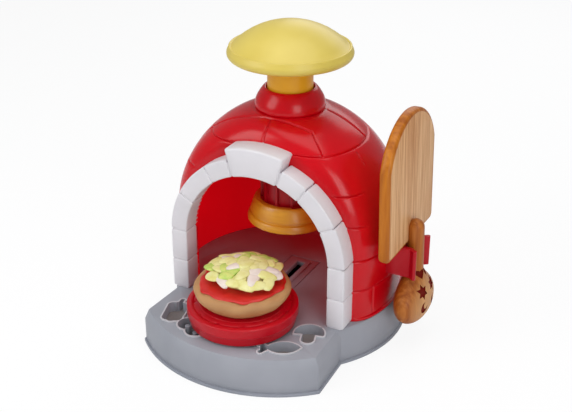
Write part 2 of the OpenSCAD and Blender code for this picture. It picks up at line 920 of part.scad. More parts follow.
module knob_underside() {
  color("#d8b95a")
  difference() {
    union() {
      translate([0, 0, knob_z])
        cylinder(h = under_t, r1 = knob_r - 2.8 - knob_wall, r2 = knob_r - 1.2 - knob_wall);
      translate([0, 0, knob_z]) cylinder(h = under_t, r = stem_r + 3);
      translate([0, 0, knob_z + under_t - eps])
        difference() {
          cylinder(h = stem_flange_t, r = stem_flange_r + 2.4);
          translate([0, 0, -1]) cylinder(h = stem_flange_t + 2, r = stem_flange_r + slide_gap);
        }
    }
    translate([0, 0, knob_z - 1]) cylinder(h = under_t + 2, r = stem_r + 0.1);
    for (a = [0, 120, 240])
      rotate(a + 30) translate([knob_screw_ring, 0, knob_z]) pass_hole(under_t);
  }
}

module knob_screws() {
  color("#c2c4c8")
  for (a = [0, 120, 240])
    rotate(a + 30) translate([knob_screw_ring, 0, knob_z]) screw(knob_screw_len - 1);
}

module plunger_stem() {
  color("#e8a93a")
  difference() {
    union() {
      translate([0, 0, stem_foot]) cylinder(h = stem_top - stem_foot, r = stem_r);
      translate([0, 0, stem_top - stem_flange_t]) cylinder(h = stem_flange_t, r = stem_flange_r);
    }
    difference() {
      translate([0, 0, stem_foot + stem_web]) cylinder(h = far, r = stem_r - stem_wall);
      translate([0, 0, stem_foot]) cylinder(h = stem_boss_h, r = stem_boss_r);
    }
    translate([0, 0, stem_foot]) pilot(stem_screw_len - 3);
  }
}

module piston_head() {
  color("#efe6cf")
  difference() {
    translate([0, 0, piston_z]) cylinder(h = piston_h, r = piston_r);
    translate([0, 0, piston_z + (piston_h - seal_h) / 2])
      difference() {
        cylinder(h = seal_h, r = far);
        translate([0, 0, -1]) cylinder(h = seal_h + 2, r = seal_in_r);
      }
    translate([0, 0, piston_z]) pass_hole(piston_h);
    translate([0, 0, piston_z - eps]) cylinder(h = 3 + eps, r = head_r + pass_gap);
  }
}

module piston_seal() {
  color("#3a3a3c")
  translate([0, 0, piston_z + (piston_h - seal_h) / 2])
    difference() {
      cylinder(h = seal_h, r = bore_r - seal_gap);
      translate([0, 0, -1]) cylinder(h = seal_h + 2, r = seal_in_r);
    }
}

module stem_screw() {
  color("#c2c4c8")
  translate([0, 0, piston_z + 3]) screw(piston_h - 3 + stem_screw_len - 4);
}

// Plan of one clip finger, on the side of +Y.
module finger2d() {
  mid = clip_gap + finger_t / 2;
  bar2d([dome_r - 3, mid], [finger_tip_x - 5, mid], finger_t / 2);
  bar2d([finger_tip_x - 5, mid], [finger_tip_x - 1.5, mid + flare], finger_t / 2);
}

module peel_clip() {
  foot_half = clip_gap + finger_t;
  color("#c8102e")
  difference() {
    translate([0, 0, clip_low])
      linear_extrude(clip_h)
        union() {
          finger2d();
          mirror([0, 1]) finger2d();
          translate([dome_r - 3, -foot_half]) square([clip_back_x - dome_r + 3, 2 * foot_half]);
        }
    cylinder(h = far, r = dome_r);
    for (z = clip_screw_z)
      translate([dome_r - 1, 0, z])
        rotate([0, 90, 0]) cylinder(h = clip_screw_len, r = screw_r + thread_gap);
  }
}

module clip_screws() {
  color("#c2c4c8")
  for (z = clip_screw_z)
    translate([dome_r - dome_wall - 0.25, 0, z]) rotate([0, 90, 0]) screw(clip_screw_len + 0.5);
}

// Outline of the peel's board, standing up in Y and Z: straight sides under a round top, and
// lower corners rounded in small steps.
module board2d() {
  half = board_w / 2;
  arc_r = (half * half + board_arc_h * board_arc_h) / (2 * board_arc_h);
  arc_half = asin(half / arc_r);
  corner = [for (a = [0:15:90]) [half - board_corner + board_corner * cos(a), board_corner * (1 - sin(a))]];
  top = [for (i = [0:24]) let (a = arc_half * (1 - i / 12))
    [arc_r * sin(a), board_h - arc_r + arc_r * cos(a)]];
  polygon(concat([for (i = [len(corner) - 1:-1:0]) corner[i]], top, [for (p = corner) [-p.x, p.y]]));
}

// Points of the handle's pear-shaped section, as a share of the way from the rod to full width.
function pear(z) = z <= handle_mid
  ? sqrt(max(0, 1 - pow((handle_mid - z) / (handle_mid - handle_low), 2)))
  : 0.5 + 0.5 * cos(180 * pow((z - handle_mid) / (handle_top - handle_mid), 1.2));

function pear_half(z, full) = z <= handle_mid ? full * pear(z)
  : rod_r - neck_in + (full - rod_r + neck_in) * pear(z);

// One ring of the handle: an ellipse of points at a level.
function pear_ring(z, n) = [for (i = [0:n - 1])
  [pear_half(z, handle_a) * cos(360 * i / n), pear_half(z, handle_b) * sin(360 * i / n), z]];

// The handle's skin: rings from the lower end to the rod, closed by two flat ends.
module pear_handle() {
  n = 40;
  levels = concat(
    [for (i = [0:9]) handle_mid - (handle_mid - handle_low) * cos(8 + 82 * i / 9)],
    [for (i = [1:14]) handle_mid + (handle_top - handle_mid) * i / 14]);
  m = len(levels);
  points = [for (z = levels) each pear_ring(z, n)];
  sides = [for (k = [0:m - 2]) for (i = [0:n - 1])
    let (a = k * n + i, b = k * n + (i + 1) % n) each [[a, b + n, b], [a, a + n, b + n]]];
  low_end = [for (i = [0:n - 1]) i];
  top_end = [for (i = [0:n - 1]) m * n - 1 - i];
  polyhedron(points, concat([low_end], sides, [top_end]), convexity = 4);
}

// A heart, a six-point star and a crescent, as flat outlines.
module heart2d() {
  for (side = [-1, 1])
    translate([side * 1.8, 1.4]) circle(2);
  polygon([[-3.5, 0.6], [-1.8, 2], [1.8, 2], [3.5, 0.6], [0, -4.4]]);
}

module star2d() {
  for (a = [0, 60])
    rotate(a) circle(r = star_r, $fn = 3);
}

module crescent2d() {
  difference() {
    circle(crescent_r);
    translate([1.9, 1.5]) circle(0.78 * crescent_r);
  }
}

// Puts an outline into the handle's outer face on both sides of its middle, as a cutter.
module stamp(at) {
  for (side = [-1, 1])
    translate([at[2], side * at[1], at[0]]) rotate([90, 0, 90]) linear_extrude(handle_a) children();
}

// The recessed shapes in the handle's outer face, in two columns.
module stamps() {
  stamp(heart_at) scale(1.1) heart2d();
  stamp(star_at) star2d();
  stamp(crescent_at) crescent2d();
}

module pizza_peel() {
  color("#c8935a")
  translate([peel_x, 0, clip_low])
    rotate([0, -peel_lean, 0])
      translate([0, 0, -clip_low]) {
        translate([-rod_proud - board_t, 0, board_z])
          rotate([90, 0, 90]) linear_extrude(board_t) board2d();
        rotate_extrude()
          polygon(concat([[0, neck_z], [rod_r, neck_z]],
            [for (a = [0:15:75]) [rod_r * cos(a), rod_top - rod_r + rod_r * sin(a)]], [[0, rod_top]]));
        difference() {
          pear_handle();
          stamps();
        }
      }
}

// The middle of the pan at rest.
module at_pan() {
  translate([0, -pan_y, 0]) children();
}

module pan_tray() {
  color("#c8102e")
  at_pan()
    difference() {
      union() {
        difference() {
          rotate_extrude()
            polygon([[0, pan_low], [pan_r - 4, pan_low], [pan_r - 1.6, pan_low + 1.4],
              [pan_r - 0.4, pan_low + 3.4], [pan_r, pan_low + 6], [pan_r, pan_top - 1.2],
              [pan_r - 0.4, pan_top - 0.3], [pan_r - 1.2, pan_top],
              [insert_r + 2.2, pan_top], [insert_r + 1.6, pan_top - 2],
              [insert_r + slide_gap, pan_top - 2], [insert_r + slide_gap, insert_z], [0, insert_z]]);
          translate([0, 0, pan_low - 1])
            cylinder(h = insert_z - pan_wall - pan_low + 1, r = pan_r - 4 - pan_wall);
        }
        for (side = [-1, 1])
          translate([0, side * slider_screw_gap / 2, pan_low])
            cylinder(h = insert_z - pan_low - 1, r = boss_r);
      }
      for (side = [-1, 1])
        translate([0, side * slider_screw_gap / 2, pan_low]) pilot(insert_z - pan_low - 3);
    }
}

module pan_insert() {
  color("#d21a35")
  at_pan()
    difference() {
      translate([0, 0, insert_z]) cylinder(h = insert_t, r = insert_r);
      for (a = [0:30:330])
        rotate(a) translate([insert_r - 1.2, -0.8, insert_z - 1]) cube([4, 1.6, insert_t + 2]);
    }
}

module pan_slider() {
  color("#b50f28")
  at_pan()
    difference() {
      union() {
        translate([-keel_w / 2, -keel_len / 2, deck_low - slide_gap - flange_t])
          cube([keel_w, keel_len, pan_low - deck_low + slide_gap + flange_t]);
        translate([-flange_w / 2, -keel_len / 2, deck_low - slide_gap - flange_t])
          cube([flange_w, keel_len, flange_t]);
      }
      for (side = [-1, 1])
        translate([0, side * slider_screw_gap / 2, deck_low - slide_gap - flange_t])
          pass_hole(pan_low - deck_low + slide_gap + flange_t);
    }
}

module slider_screws() {
  color("#c2c4c8")
  at_pan()
    for (side = [-1, 1])
      translate([0, side * slider_screw_gap / 2, deck_low - slide_gap - flange_t]) screw(slider_screw_len);
}

module pizza_crust() {
  color("#cfa372")
  at_pan()
    translate([0, 0, crust_z])
      rotate_extrude() {
        polygon([[0, 0], [crust_foot_r - 1.5, 0], [crust_foot_r, 0.6],
          [crust_r - 1.2, crust_t - 2 * crust_lip], [crust_r - 0.3, crust_t - crust_lip],
          [crust_r - crust_lip, crust_t], [0, crust_t]]);
        translate([crust_r - crust_lip, crust_t - crust_lip]) circle(crust_lip);
      }
}

module pizza_sauce() {
  color("#c42a26")
  at_pan()
    translate([0, 0, sauce_z])
      linear_extrude(sauce_t)
        polygon([for (a = [0:6:354])
          (sauce_r + 0.7 * sin(5 * a) + 0.5 * sin(9 * a + 40)) * [cos(a), sin(a)]]);
}

module pizza_cheese() {
  color("#ecdf9e")
  at_pan()
    translate([0, 0, cheese_z])
      rotate_extrude()
        polygon([for (i = [0:12]) let (a = 90 * i / 12)
          [i == 12 ? 0 : cheese_r * cos(a), cheese_h * pow(sin(a), 0.9)],
          [0, 0]]);
}

base_tray();
bottom_plate();
base_screws();
dome_shell();
dome_screws();
door_arch();
arch_screws();
collar_ring();
barrel();
barrel_screws();
nozzle_cup();
die_disc();
knob_cap();
knob_underside();
knob_screws();
plunger_stem();
piston_head();
piston_seal();
stem_screw();
peel_clip();
clip_screws();
pizza_peel();
pan_tray();
pan_insert();
pan_slider();
slider_screws();
pizza_crust();
pizza_sauce();
pizza_cheese();
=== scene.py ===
# %% [markdown]
# # A toy oven for modelling dough
#
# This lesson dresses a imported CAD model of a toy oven. The CAD model says where every part is and how it
# moves. Here each visible part gets its finished form and its material, and a small studio is set round it.
# Everything is in metres, in the CAD model's own frame: the origin is at table level on the dome's axis,
# +Z is up, and the doorway faces -Y. Sizes are written in millimetres and multiplied by MM.

import math
import random

import bpy
import numpy as np
from mathutils import Matrix, Vector, noise


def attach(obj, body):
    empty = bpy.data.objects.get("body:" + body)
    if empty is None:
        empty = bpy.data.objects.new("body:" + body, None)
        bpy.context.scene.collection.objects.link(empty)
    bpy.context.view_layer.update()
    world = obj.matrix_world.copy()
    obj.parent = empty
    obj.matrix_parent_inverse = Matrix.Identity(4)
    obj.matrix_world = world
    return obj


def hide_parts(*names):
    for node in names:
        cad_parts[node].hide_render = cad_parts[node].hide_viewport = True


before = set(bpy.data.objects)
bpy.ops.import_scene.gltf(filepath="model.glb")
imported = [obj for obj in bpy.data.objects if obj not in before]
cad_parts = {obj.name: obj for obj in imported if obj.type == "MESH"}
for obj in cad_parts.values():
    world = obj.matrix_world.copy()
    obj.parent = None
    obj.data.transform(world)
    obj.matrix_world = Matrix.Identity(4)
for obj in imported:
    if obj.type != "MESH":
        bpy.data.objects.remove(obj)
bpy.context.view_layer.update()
MM = 0.001

# %% [markdown]
# ## The camera
#
# The photograph was taken from the right and from above, with a lens of medium length. The camera's place
# and lens were found by fitting the oven's level rims to it, so they are written here as plain numbers.

# %% Place the camera
AZIMUTH = math.radians(27.52)
ELEVATION = math.radians(26.25)
CAMERA_AT = (0.33304, -0.6459, 0.4446)
LENS = 67.89

bpy.ops.object.camera_add(location=CAMERA_AT, rotation=(math.pi / 2 - ELEVATION, 0, AZIMUTH))
camera = bpy.context.active_object
camera.name = "camera"
camera.data.sensor_width = 36
camera.data.lens = LENS
camera.data.clip_start = 0.01
bpy.context.scene.camera = camera
print("camera lens", camera.data.lens)

# %% [markdown]
# ## The studio
#
# A product photo is lit by large soft boxes before a white sweep. Here one stands on each side, one hangs
# overhead and one is behind, and area lamps make them. The world gives an even fill, but shows plain white to
# the camera, so that the background is white without putting more light on the oven.

# %% Set up the world
def add_node(tree, kind, **sockets):
    node = tree.nodes.new(kind)
    for key, value in sockets.items():
        node.inputs[key.replace("_", " ")].default_value = value
    return node


world = bpy.data.worlds.new("studio")
bpy.context.scene.world = world
world.use_nodes = True
tree = world.node_tree
tree.nodes.clear()
fill = add_node(tree, "ShaderNodeBackground", Color=(0.95, 0.97, 1, 1), Strength=0.34)
white = add_node(tree, "ShaderNodeBackground", Color=(1, 1, 1, 1), Strength=1)
path = add_node(tree, "ShaderNodeLightPath")
mix = add_node(tree, "ShaderNodeMixShader")
out = add_node(tree, "ShaderNodeOutputWorld")
tree.links.new(path.outputs["Is Camera Ray"], mix.inputs[0])
tree.links.new(fill.outputs[0], mix.inputs[1])
tree.links.new(white.outputs[0], mix.inputs[2])
tree.links.new(mix.outputs[0], out.inputs[0])
bpy.context.scene.view_settings.view_transform = "Standard"
print("world nodes:", len(tree.nodes))


# %% Hang the lamps
def soft_box(name, place, aim, size, power):
    bpy.ops.object.light_add(type="AREA", location=place)
    lamp = bpy.context.active_object
    lamp.name = name
    lamp.data.shape = "RECTANGLE"
    lamp.data.size, lamp.data.size_y = size
    lamp.data.energy = power
    lamp.rotation_euler = (Vector(aim) - Vector(place)).to_track_quat("-Z", "Y").to_euler()
    print(name, power, "W")


soft_box("box_left", (-0.62, -0.75, 0.62), (0, -0.02, 0.1), (0.5, 0.7), 4.0)
soft_box("box_right", (0.72, -0.62, 0.42), (0, 0, 0.11), (0.4, 0.6), 2.9)
soft_box("box_top", (0.05, -0.1, 0.95), (0, -0.02, 0.1), (0.8, 0.8), 3.8)
soft_box("box_back", (-0.1, 0.9, 0.6), (0, 0, 0.1), (0.8, 0.5), 2.2)

# %% [markdown]
# The sweep is matt paper that takes the oven's soft shadow. Most of what the camera sees of it is a white
# glow, so it runs into the white background with no edge, and only the darkest shadow shows.

# %% Lay the floor
PAPER_GLOW = 0.86   # the glow's share in what the camera sees

bpy.ops.mesh.primitive_plane_add(size=8, location=(0, 0, 0))
floor = bpy.context.active_object
floor.name = "floor"
paper = bpy.data.materials.new("white_sweep")
paper.use_nodes = True
tree = paper.node_tree
surface = tree.nodes["Principled BSDF"]
surface.inputs["Base Color"].default_value = (0.85, 0.85, 0.86, 1)
surface.inputs["Roughness"].default_value = 0.9
glow = add_node(tree, "ShaderNodeEmission", Color=(1, 1, 1, 1), Strength=1.02)
path = add_node(tree, "ShaderNodeLightPath")
share = add_node(tree, "ShaderNodeMath")
share.operation = "MULTIPLY"
share.inputs[1].default_value = PAPER_GLOW
mix = add_node(tree, "ShaderNodeMixShader")
tree.links.new(path.outputs["Is Camera Ray"], share.inputs[0])
tree.links.new(share.outputs[0], mix.inputs[0])
tree.links.new(surface.outputs[0], mix.inputs[1])
tree.links.new(glow.outputs[0], mix.inputs[2])
tree.links.new(mix.outputs[0], tree.nodes["Material Output"].inputs[0])
floor.data.materials.append(paper)

# %% [markdown]
# ## Moulded plastic
#
# Most of the oven is injection-moulded plastic. It is never one flat colour: the pigment clouds a little,
# the gloss changes where hands rub it, and the mould leaves a very fine skin. One helper makes this finish,
# and each part gives it its own colours, gloss and grain. The textures read Object coordinates, so they stay
# fixed to the part when it moves.

# %% A helper for moulded finishes
BUMP_HEIGHT = 0.0004   # metres


def srgb(r, g, b):
    shares = [v / 255 for v in (r, g, b)]
    return tuple(s / 12.92 if s <= 0.04045 else ((s + 0.055) / 1.055) ** 2.4 for s in shares) + (1,)


def moulded(name, dark, light, rough, coat=0.0, clouds=22, skin=1100, relief=0.03,
            glow_through=0.0, shine=0.5):
    """A finish that clouds between two colours, with a fine skin and an uneven gloss."""
    finish = bpy.data.materials.new(name)
    finish.use_nodes = True
    tree = finish.node_tree
    plastic = tree.nodes["Principled BSDF"]
    where = add_node(tree, "ShaderNodeTexCoord")
    where.name = "where"
    cloud = add_node(tree, "ShaderNodeTexNoise", Scale=clouds, Detail=3, Roughness=0.5)
    cloud.name = "clouds"
    shades = add_node(tree, "ShaderNodeValToRGB")
    shades.color_ramp.elements[0].position = 0.32
    shades.color_ramp.elements[0].color = srgb(*dark)
    shades.color_ramp.elements[1].position = 0.68
    shades.color_ramp.elements[1].color = srgb(*light)
    gloss = add_node(tree, "ShaderNodeMapRange")
    gloss.inputs["To Min"].default_value = rough * 0.85
    gloss.inputs["To Max"].default_value = rough * 1.2
    grain = add_node(tree, "ShaderNodeTexNoise", Scale=skin, Detail=2, Roughness=0.6)
    bump = add_node(tree, "ShaderNodeBump", Strength=relief, Distance=BUMP_HEIGHT)
    tree.links.new(where.outputs["Object"], cloud.inputs["Vector"])
    tree.links.new(where.outputs["Object"], grain.inputs["Vector"])
    tree.links.new(cloud.outputs[0], shades.inputs[0])
    tree.links.new(shades.outputs[0], plastic.inputs["Base Color"])
    tree.links.new(cloud.outputs[0], gloss.inputs["Value"])
    tree.links.new(gloss.outputs[0], plastic.inputs["Roughness"])
    tree.links.new(grain.outputs[0], bump.inputs["Height"])
    tree.links.new(bump.outputs[0], plastic.inputs["Normal"])
    plastic.inputs["Specular IOR Level"].default_value = shine
    plastic.inputs["Coat Weight"].default_value = coat
    plastic.inputs["Coat Roughness"].default_value = 0.12
    if glow_through:
        plastic.inputs["Subsurface Weight"].default_value = glow_through
        plastic.inputs["Subsurface Radius"].default_value = (1, 0.6, 0.4)
        plastic.inputs["Subsurface Scale"].default_value = 0.003
    return finish


# %% The oven's plastics
dome_red = moulded("dome_red", (190, 0, 14), (206, 2, 20), 0.22, coat=0.06, shine=0.28)
# The inner faces' finish gets an emission below: a painted glow, not light from a lamp.
dome_inside_painted_glow = moulded("dome_inside_painted_glow", (186, 0, 12), (198, 2, 16), 0.35, shine=0.2)
barrel_red = moulded("barrel_red", (158, 4, 20), (176, 8, 26), 0.3, shine=0.3)
pan_red = moulded("pan_red", (178, 2, 22), (194, 6, 28), 0.28, coat=0.05, shine=0.3)
arch_white = moulded("arch_white", (213, 210, 214), (222, 219, 223), 0.42, relief=0.05)
base_grey = moulded("base_grey", (146, 149, 157), (158, 160, 168), 0.45, relief=0.06, shine=0.4)
# The rims' paler grey is a painted highlight, and the mould floors' darker grey is a painted shade.
rim_painted_highlight_grey = moulded("rim_painted_highlight_grey", (184, 184, 188), (196, 196, 200), 0.4, relief=0.06)
mould_floor_painted_shade_grey = moulded("mould_floor_painted_shade_grey", (120, 113, 111), (134, 127, 124), 0.5, relief=0.06)
plate_grey = moulded("plate_grey", (138, 142, 152), (150, 153, 163), 0.5, relief=0.06)
knob_yellow = moulded("knob_yellow", (210, 186, 80), (220, 198, 96), 0.38, relief=0.06)
stem_orange = moulded("stem_orange", (218, 154, 18), (228, 170, 34), 0.35, shine=0.35)
die_yellow = moulded("die_yellow", (226, 176, 58), (238, 190, 72), 0.4)
piston_cream = moulded("piston_cream", (228, 218, 196), (238, 229, 208), 0.5)
seal_black = moulded("seal_black", (44, 44, 46), (58, 58, 60), 0.6, relief=0.1)
clip_red = moulded("clip_red", (178, 4, 24), (192, 10, 30), 0.34, shine=0.3)
print("materials so far:", len(bpy.data.materials))

# %% [markdown]
# The inner faces of the dome get a finish of their own with a little red emission. That is a painted glow,
# which lights the oven's inside in place of a lamp.

# %% Let the inside glow
# The strength of the painted glow on the dome's inner faces.
GLOW = 0.26
glowing = dome_inside_painted_glow.node_tree.nodes["Principled BSDF"]
glowing.inputs["Emission Color"].default_value = (1, 0.002, 0.01, 1)
glowing.inputs["Emission Strength"].default_value = GLOW

# %% [markdown]
# The nozzle cup is moulded in a pearly orange, with lighter streaks where the melt flowed round it. A noise
# that is stretched round the axis gives those streaks.

# %% The cup's pearly orange
cup_orange = moulded("cup_orange", (200, 124, 16), (228, 164, 44), 0.3, coat=0.1, clouds=60)
tree = cup_orange.node_tree
squeeze = add_node(tree, "ShaderNodeMapping", Scale=(0.35, 0.35, 2.2))
tree.links.new(tree.nodes["where"].outputs["Object"], squeeze.inputs["Vector"])
tree.links.new(squeeze.outputs[0], tree.nodes["clouds"].inputs["Vector"])

# %% [markdown]
# ## Screws
#
# The screws are zinc-plated steel. A metallic finish with a fine uneven gloss is enough at their size.

# %% Plated steel
plated_steel = moulded("plated_steel", (178, 180, 184), (205, 206, 210), 0.3, clouds=400)
plated_steel.node_tree.nodes["Principled BSDF"].inputs["Metallic"].default_value = 1.0

# %% [markdown]
# ## Wood-look plastic for the peel
#
# The peel is plastic that imitates wood. Its broad face has fine upright grain in light tan, while its
# rounded edges and the handle are a warmer, smoother brown. Noise that is squeezed across the board and
# drawn out along it makes the grain. A second, slower noise shifts the tone from strip to strip.

# %% A helper for the wood look
def wood_look(name, tones, across, along, rough, relief):
    """A grain in three tones. Across and along say how many times the noise repeats in a metre."""
    finish = bpy.data.materials.new(name)
    finish.use_nodes = True
    tree = finish.node_tree
    plastic = tree.nodes["Principled BSDF"]
    where = add_node(tree, "ShaderNodeTexCoord")
    where.name = "where"
    fine = add_node(tree, "ShaderNodeMapping", Scale=(across * 0.5, across, along))
    slow = add_node(tree, "ShaderNodeMapping", Scale=(across * 0.06, across * 0.14, along * 0.7))
    fibre = add_node(tree, "ShaderNodeTexNoise", Scale=1, Detail=4, Roughness=0.65, Distortion=0.15)
    strip = add_node(tree, "ShaderNodeTexNoise", Scale=1, Detail=2, Roughness=0.5, Distortion=0.4)
    both = add_node(tree, "ShaderNodeMix", Factor=0.28)
    both.data_type = "FLOAT"
    shades = add_node(tree, "ShaderNodeValToRGB")
    shades.name = "tones"
    ramp = shades.color_ramp
    ramp.elements[0].position, ramp.elements[1].position = 0.39, 0.61
    ramp.elements[0].color, ramp.elements[1].color = srgb(*tones[0]), srgb(*tones[2])
    middle = ramp.elements.new(0.5)
    middle.color = srgb(*tones[1])
    bump = add_node(tree, "ShaderNodeBump", Strength=relief, Distance=BUMP_HEIGHT)
    for mapping, grain in ((fine, fibre), (slow, strip)):
        tree.links.new(where.outputs["Object"], mapping.inputs["Vector"])
        tree.links.new(mapping.outputs[0], grain.inputs["Vector"])
    tree.links.new(fibre.outputs[0], both.inputs[2])
    tree.links.new(strip.outputs[0], both.inputs[3])
    tree.links.new(both.outputs[0], shades.inputs[0])
    tree.links.new(shades.outputs[0], plastic.inputs["Base Color"])
    tree.links.new(fibre.outputs[0], bump.inputs["Height"])
    tree.links.new(bump.outputs[0], plastic.inputs["Normal"])
    plastic.inputs["Roughness"].default_value = rough
    plastic.inputs["Specular IOR Level"].default_value = 0.3
    return finish


# %% The peel's finishes
board_grain = wood_look("board_grain", ((184, 122, 66), (216, 162, 110), (238, 198, 148)),
                        across=980, along=9, rough=0.5, relief=0.25)
edge_brown = wood_look("edge_brown", ((160, 84, 8), (180, 102, 16), (196, 118, 28)),
                       across=260, along=10, rough=0.4, relief=0.08)
handle_brown = wood_look("handle_brown", ((142, 70, 12), (162, 88, 24), (180, 108, 42)),
                         across=520, along=8, rough=0.42, relief=0.15)
# The stamps' dark brown is a painted shade in their hollows.
stamp_painted_shade_brown = moulded("stamp_painted_shade_brown", (104, 14, 2), (122, 22, 6), 0.6, shine=0.1)

# %% [markdown]
# The handle's outer face is paler than its sides, as the board's is. Its distance from the dome's axis, read
# from Object coordinates, fades the brown over to tan.

# %% Pale outer face of the handle
FADE_FROM, FADE_TO, FADE = 0.1065, 0.1135, 0.6
PALE_TAN = srgb(226, 176, 118)

tree = handle_brown.node_tree
split = add_node(tree, "ShaderNodeSeparateXYZ")
outwards = add_node(tree, "ShaderNodeMapRange", From_Min=FADE_FROM, From_Max=FADE_TO, To_Min=0, To_Max=FADE)
fade = add_node(tree, "ShaderNodeMix")
fade.data_type = "RGBA"
fade.inputs[7].default_value = PALE_TAN
tree.links.new(tree.nodes["where"].outputs["Object"], split.inputs[0])
tree.links.new(split.outputs[0], outwards.inputs["Value"])
tree.links.new(outwards.outputs[0], fade.inputs[0])
tree.links.new(tree.nodes["tones"].outputs[0], fade.inputs[6])
tree.links.new(fade.outputs[2], tree.nodes["Principled BSDF"].inputs["Base Color"])

# %% [markdown]
# ## Dough
#
# Modelling dough is matt, a little translucent and slightly lumpy. Light that enters it comes out again
# close by, which softens its shadows, so each dough has some subsurface scattering and a coarser skin.

# %% The doughs
crust_dough = moulded("crust_dough", (174, 126, 78), (190, 142, 92), 0.6, clouds=60, skin=500,
                      relief=0.25, glow_through=0.15)
sauce_dough = moulded("sauce_dough", (196, 26, 22), (212, 40, 32), 0.4, clouds=90, skin=420,
                      relief=0.25, glow_through=0.12)
cream_dough = moulded("cream_dough", (222, 215, 128), (238, 233, 168), 0.55, clouds=140, skin=500,
                      relief=0.2, glow_through=0.05)
pale_dough = moulded("pale_dough", (228, 210, 198), (240, 228, 216), 0.55, clouds=120, skin=500,
                     relief=0.2, glow_through=0.05)
green_dough = moulded("green_dough", (166, 204, 84), (218, 222, 124), 0.55, clouds=200, skin=500,
                      relief=0.2, glow_through=0.05)
print("materials in all:", len(bpy.data.materials))

# %% [markdown]
# ## Working by hand in code
#
# An operator acts on all that is selected, so these helpers first clear the selection, then pick the one
# piece or the vertices that the next step is about.

# %% Selection helpers
def deselect():
    if bpy.context.mode != "OBJECT":
        bpy.ops.object.mode_set(mode="OBJECT")
    bpy.ops.object.select_all(action="DESELECT")


def take(piece):
    deselect()
    piece.select_set(True)
    bpy.context.view_layer.objects.active = piece


def pick(piece, test):
    bpy.ops.object.mode_set(mode="OBJECT")
    mesh = piece.data
    for group in (mesh.polygons, mesh.edges):
        group.foreach_set("select", [False] * len(group))
    mesh.vertices.foreach_set("select", [bool(test(v)) for v in mesh.vertices])
    bpy.ops.object.mode_set(mode="EDIT")


def apply_modifiers(piece):
    take(piece)
    for modifier in list(piece.modifiers):
        bpy.ops.object.modifier_apply(modifier=modifier.name)


def close_up(piece):
    take(piece)
    bpy.ops.object.mode_set(mode="EDIT")
    bpy.ops.mesh.select_all(action="SELECT")
    bpy.ops.mesh.remove_doubles(threshold=1e-6)
    bpy.ops.mesh.normals_make_consistent(inside=False)
    bpy.ops.object.mode_set(mode="OBJECT")


def smooth(piece, degrees=35):
    take(piece)
    bpy.ops.object.shade_smooth_by_angle(angle=math.radians(degrees))


def finish_piece(piece, body, slot, *materials, nodes=()):
    if materials:
        piece.data.materials.clear()
        for material in materials:
            piece.data.materials.append(material)
    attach(piece, body)
    if nodes:
        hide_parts(*nodes)
    piece.data.calc_loop_triangles()
    print(piece.name, "has", len(piece.data.loop_triangles), "triangles")


# %% [markdown]
# ## Turned and lofted forms
#
# Knob, collar, dome, pan and crust are all round, as if turned on a lathe. Each starts as a circle that is
# extruded ring by ring and scaled, as one would do by hand. The same helper takes an oval ring, which the
# peel's handle needs.

# %% A helper that skins rings
POLE = 0.05   # millimetres: an end ring of this radius is merged to a point


def lofted(name, rings, sides=96, ends="open"):
    """Skins rings of (half width, half depth, level).

    Ends can be "open", "joined" for last to first, or "a", "z" or "a+z" to merge the first or last ring.
    """
    deselect()
    bpy.ops.mesh.primitive_circle_add(vertices=sides, radius=1)
    piece = bpy.context.active_object
    piece.name = name
    bpy.ops.object.mode_set(mode="EDIT")
    bpy.ops.mesh.select_mode(type="VERT")
    bpy.ops.mesh.select_all(action="SELECT")
    rx, ry, level = 1, 1, 0
    for i, (new_rx, new_ry, new_level) in enumerate(rings):
        if i:
            bpy.ops.mesh.extrude_region_move()
        bpy.ops.transform.resize(value=(new_rx * MM / rx, new_ry * MM / ry, 1), center_override=(0, 0, 0))
        bpy.ops.transform.translate(value=(0, 0, new_level * MM - level))
        rx, ry, level = new_rx * MM, new_ry * MM, new_level * MM
    total = sides * len(rings)
    if ends == "joined":
        pick(piece, lambda v: v.index < sides or v.index >= total - sides)
        bpy.ops.mesh.bridge_edge_loops()
    for end, mark in ((0, "a"), (1, "z")):
        if mark in ends.split("+"):
            pick(piece, lambda v: v.index >= total - sides if end else v.index < sides)
            bpy.ops.mesh.merge(type="CENTER")
            total = len(piece.data.vertices) if end else total
    bpy.ops.object.mode_set(mode="OBJECT")
    close_up(piece)
    return piece


def turned(name, rings, sides=96, ends="open"):
    return lofted(name, [(r, r, z) for r, z in rings], sides, ends)


def arc(middle_r, middle_z, radius, start, stop, steps):
    angles = [math.radians(start + (stop - start) * i / steps) for i in range(steps + 1)]
    return [(middle_r + radius * math.cos(a), middle_z + radius * math.sin(a)) for a in angles]


# %% [markdown]
# ## The knob
#
# The knob is a mushroom for the palm: a shallow crown, a thin bead round it, and a rounded edge that rolls
# under. Its outline is turned in one go. A Solidify modifier gives the shell its thickness from outside in.

# %% Helpers for the crown and the wall
RIM_R, RIM_Z, RIM_TURN, CROWN_RISE = 41.6, 211.9, math.radians(45), 17.1


def crown_point(degrees):
    """The radius and level of the crown where its outline has turned this far from the top."""
    turn = math.radians(degrees)
    return (RIM_R * math.sin(turn) / math.sin(RIM_TURN),
            RIM_Z + CROWN_RISE * (math.cos(turn) - math.cos(RIM_TURN)) / (1 - math.cos(RIM_TURN)))


def give_wall(piece, thickness):
    wall = piece.modifiers.new("wall", "SOLIDIFY")
    wall.thickness = thickness * MM
    wall.offset = -1
    apply_modifiers(piece)


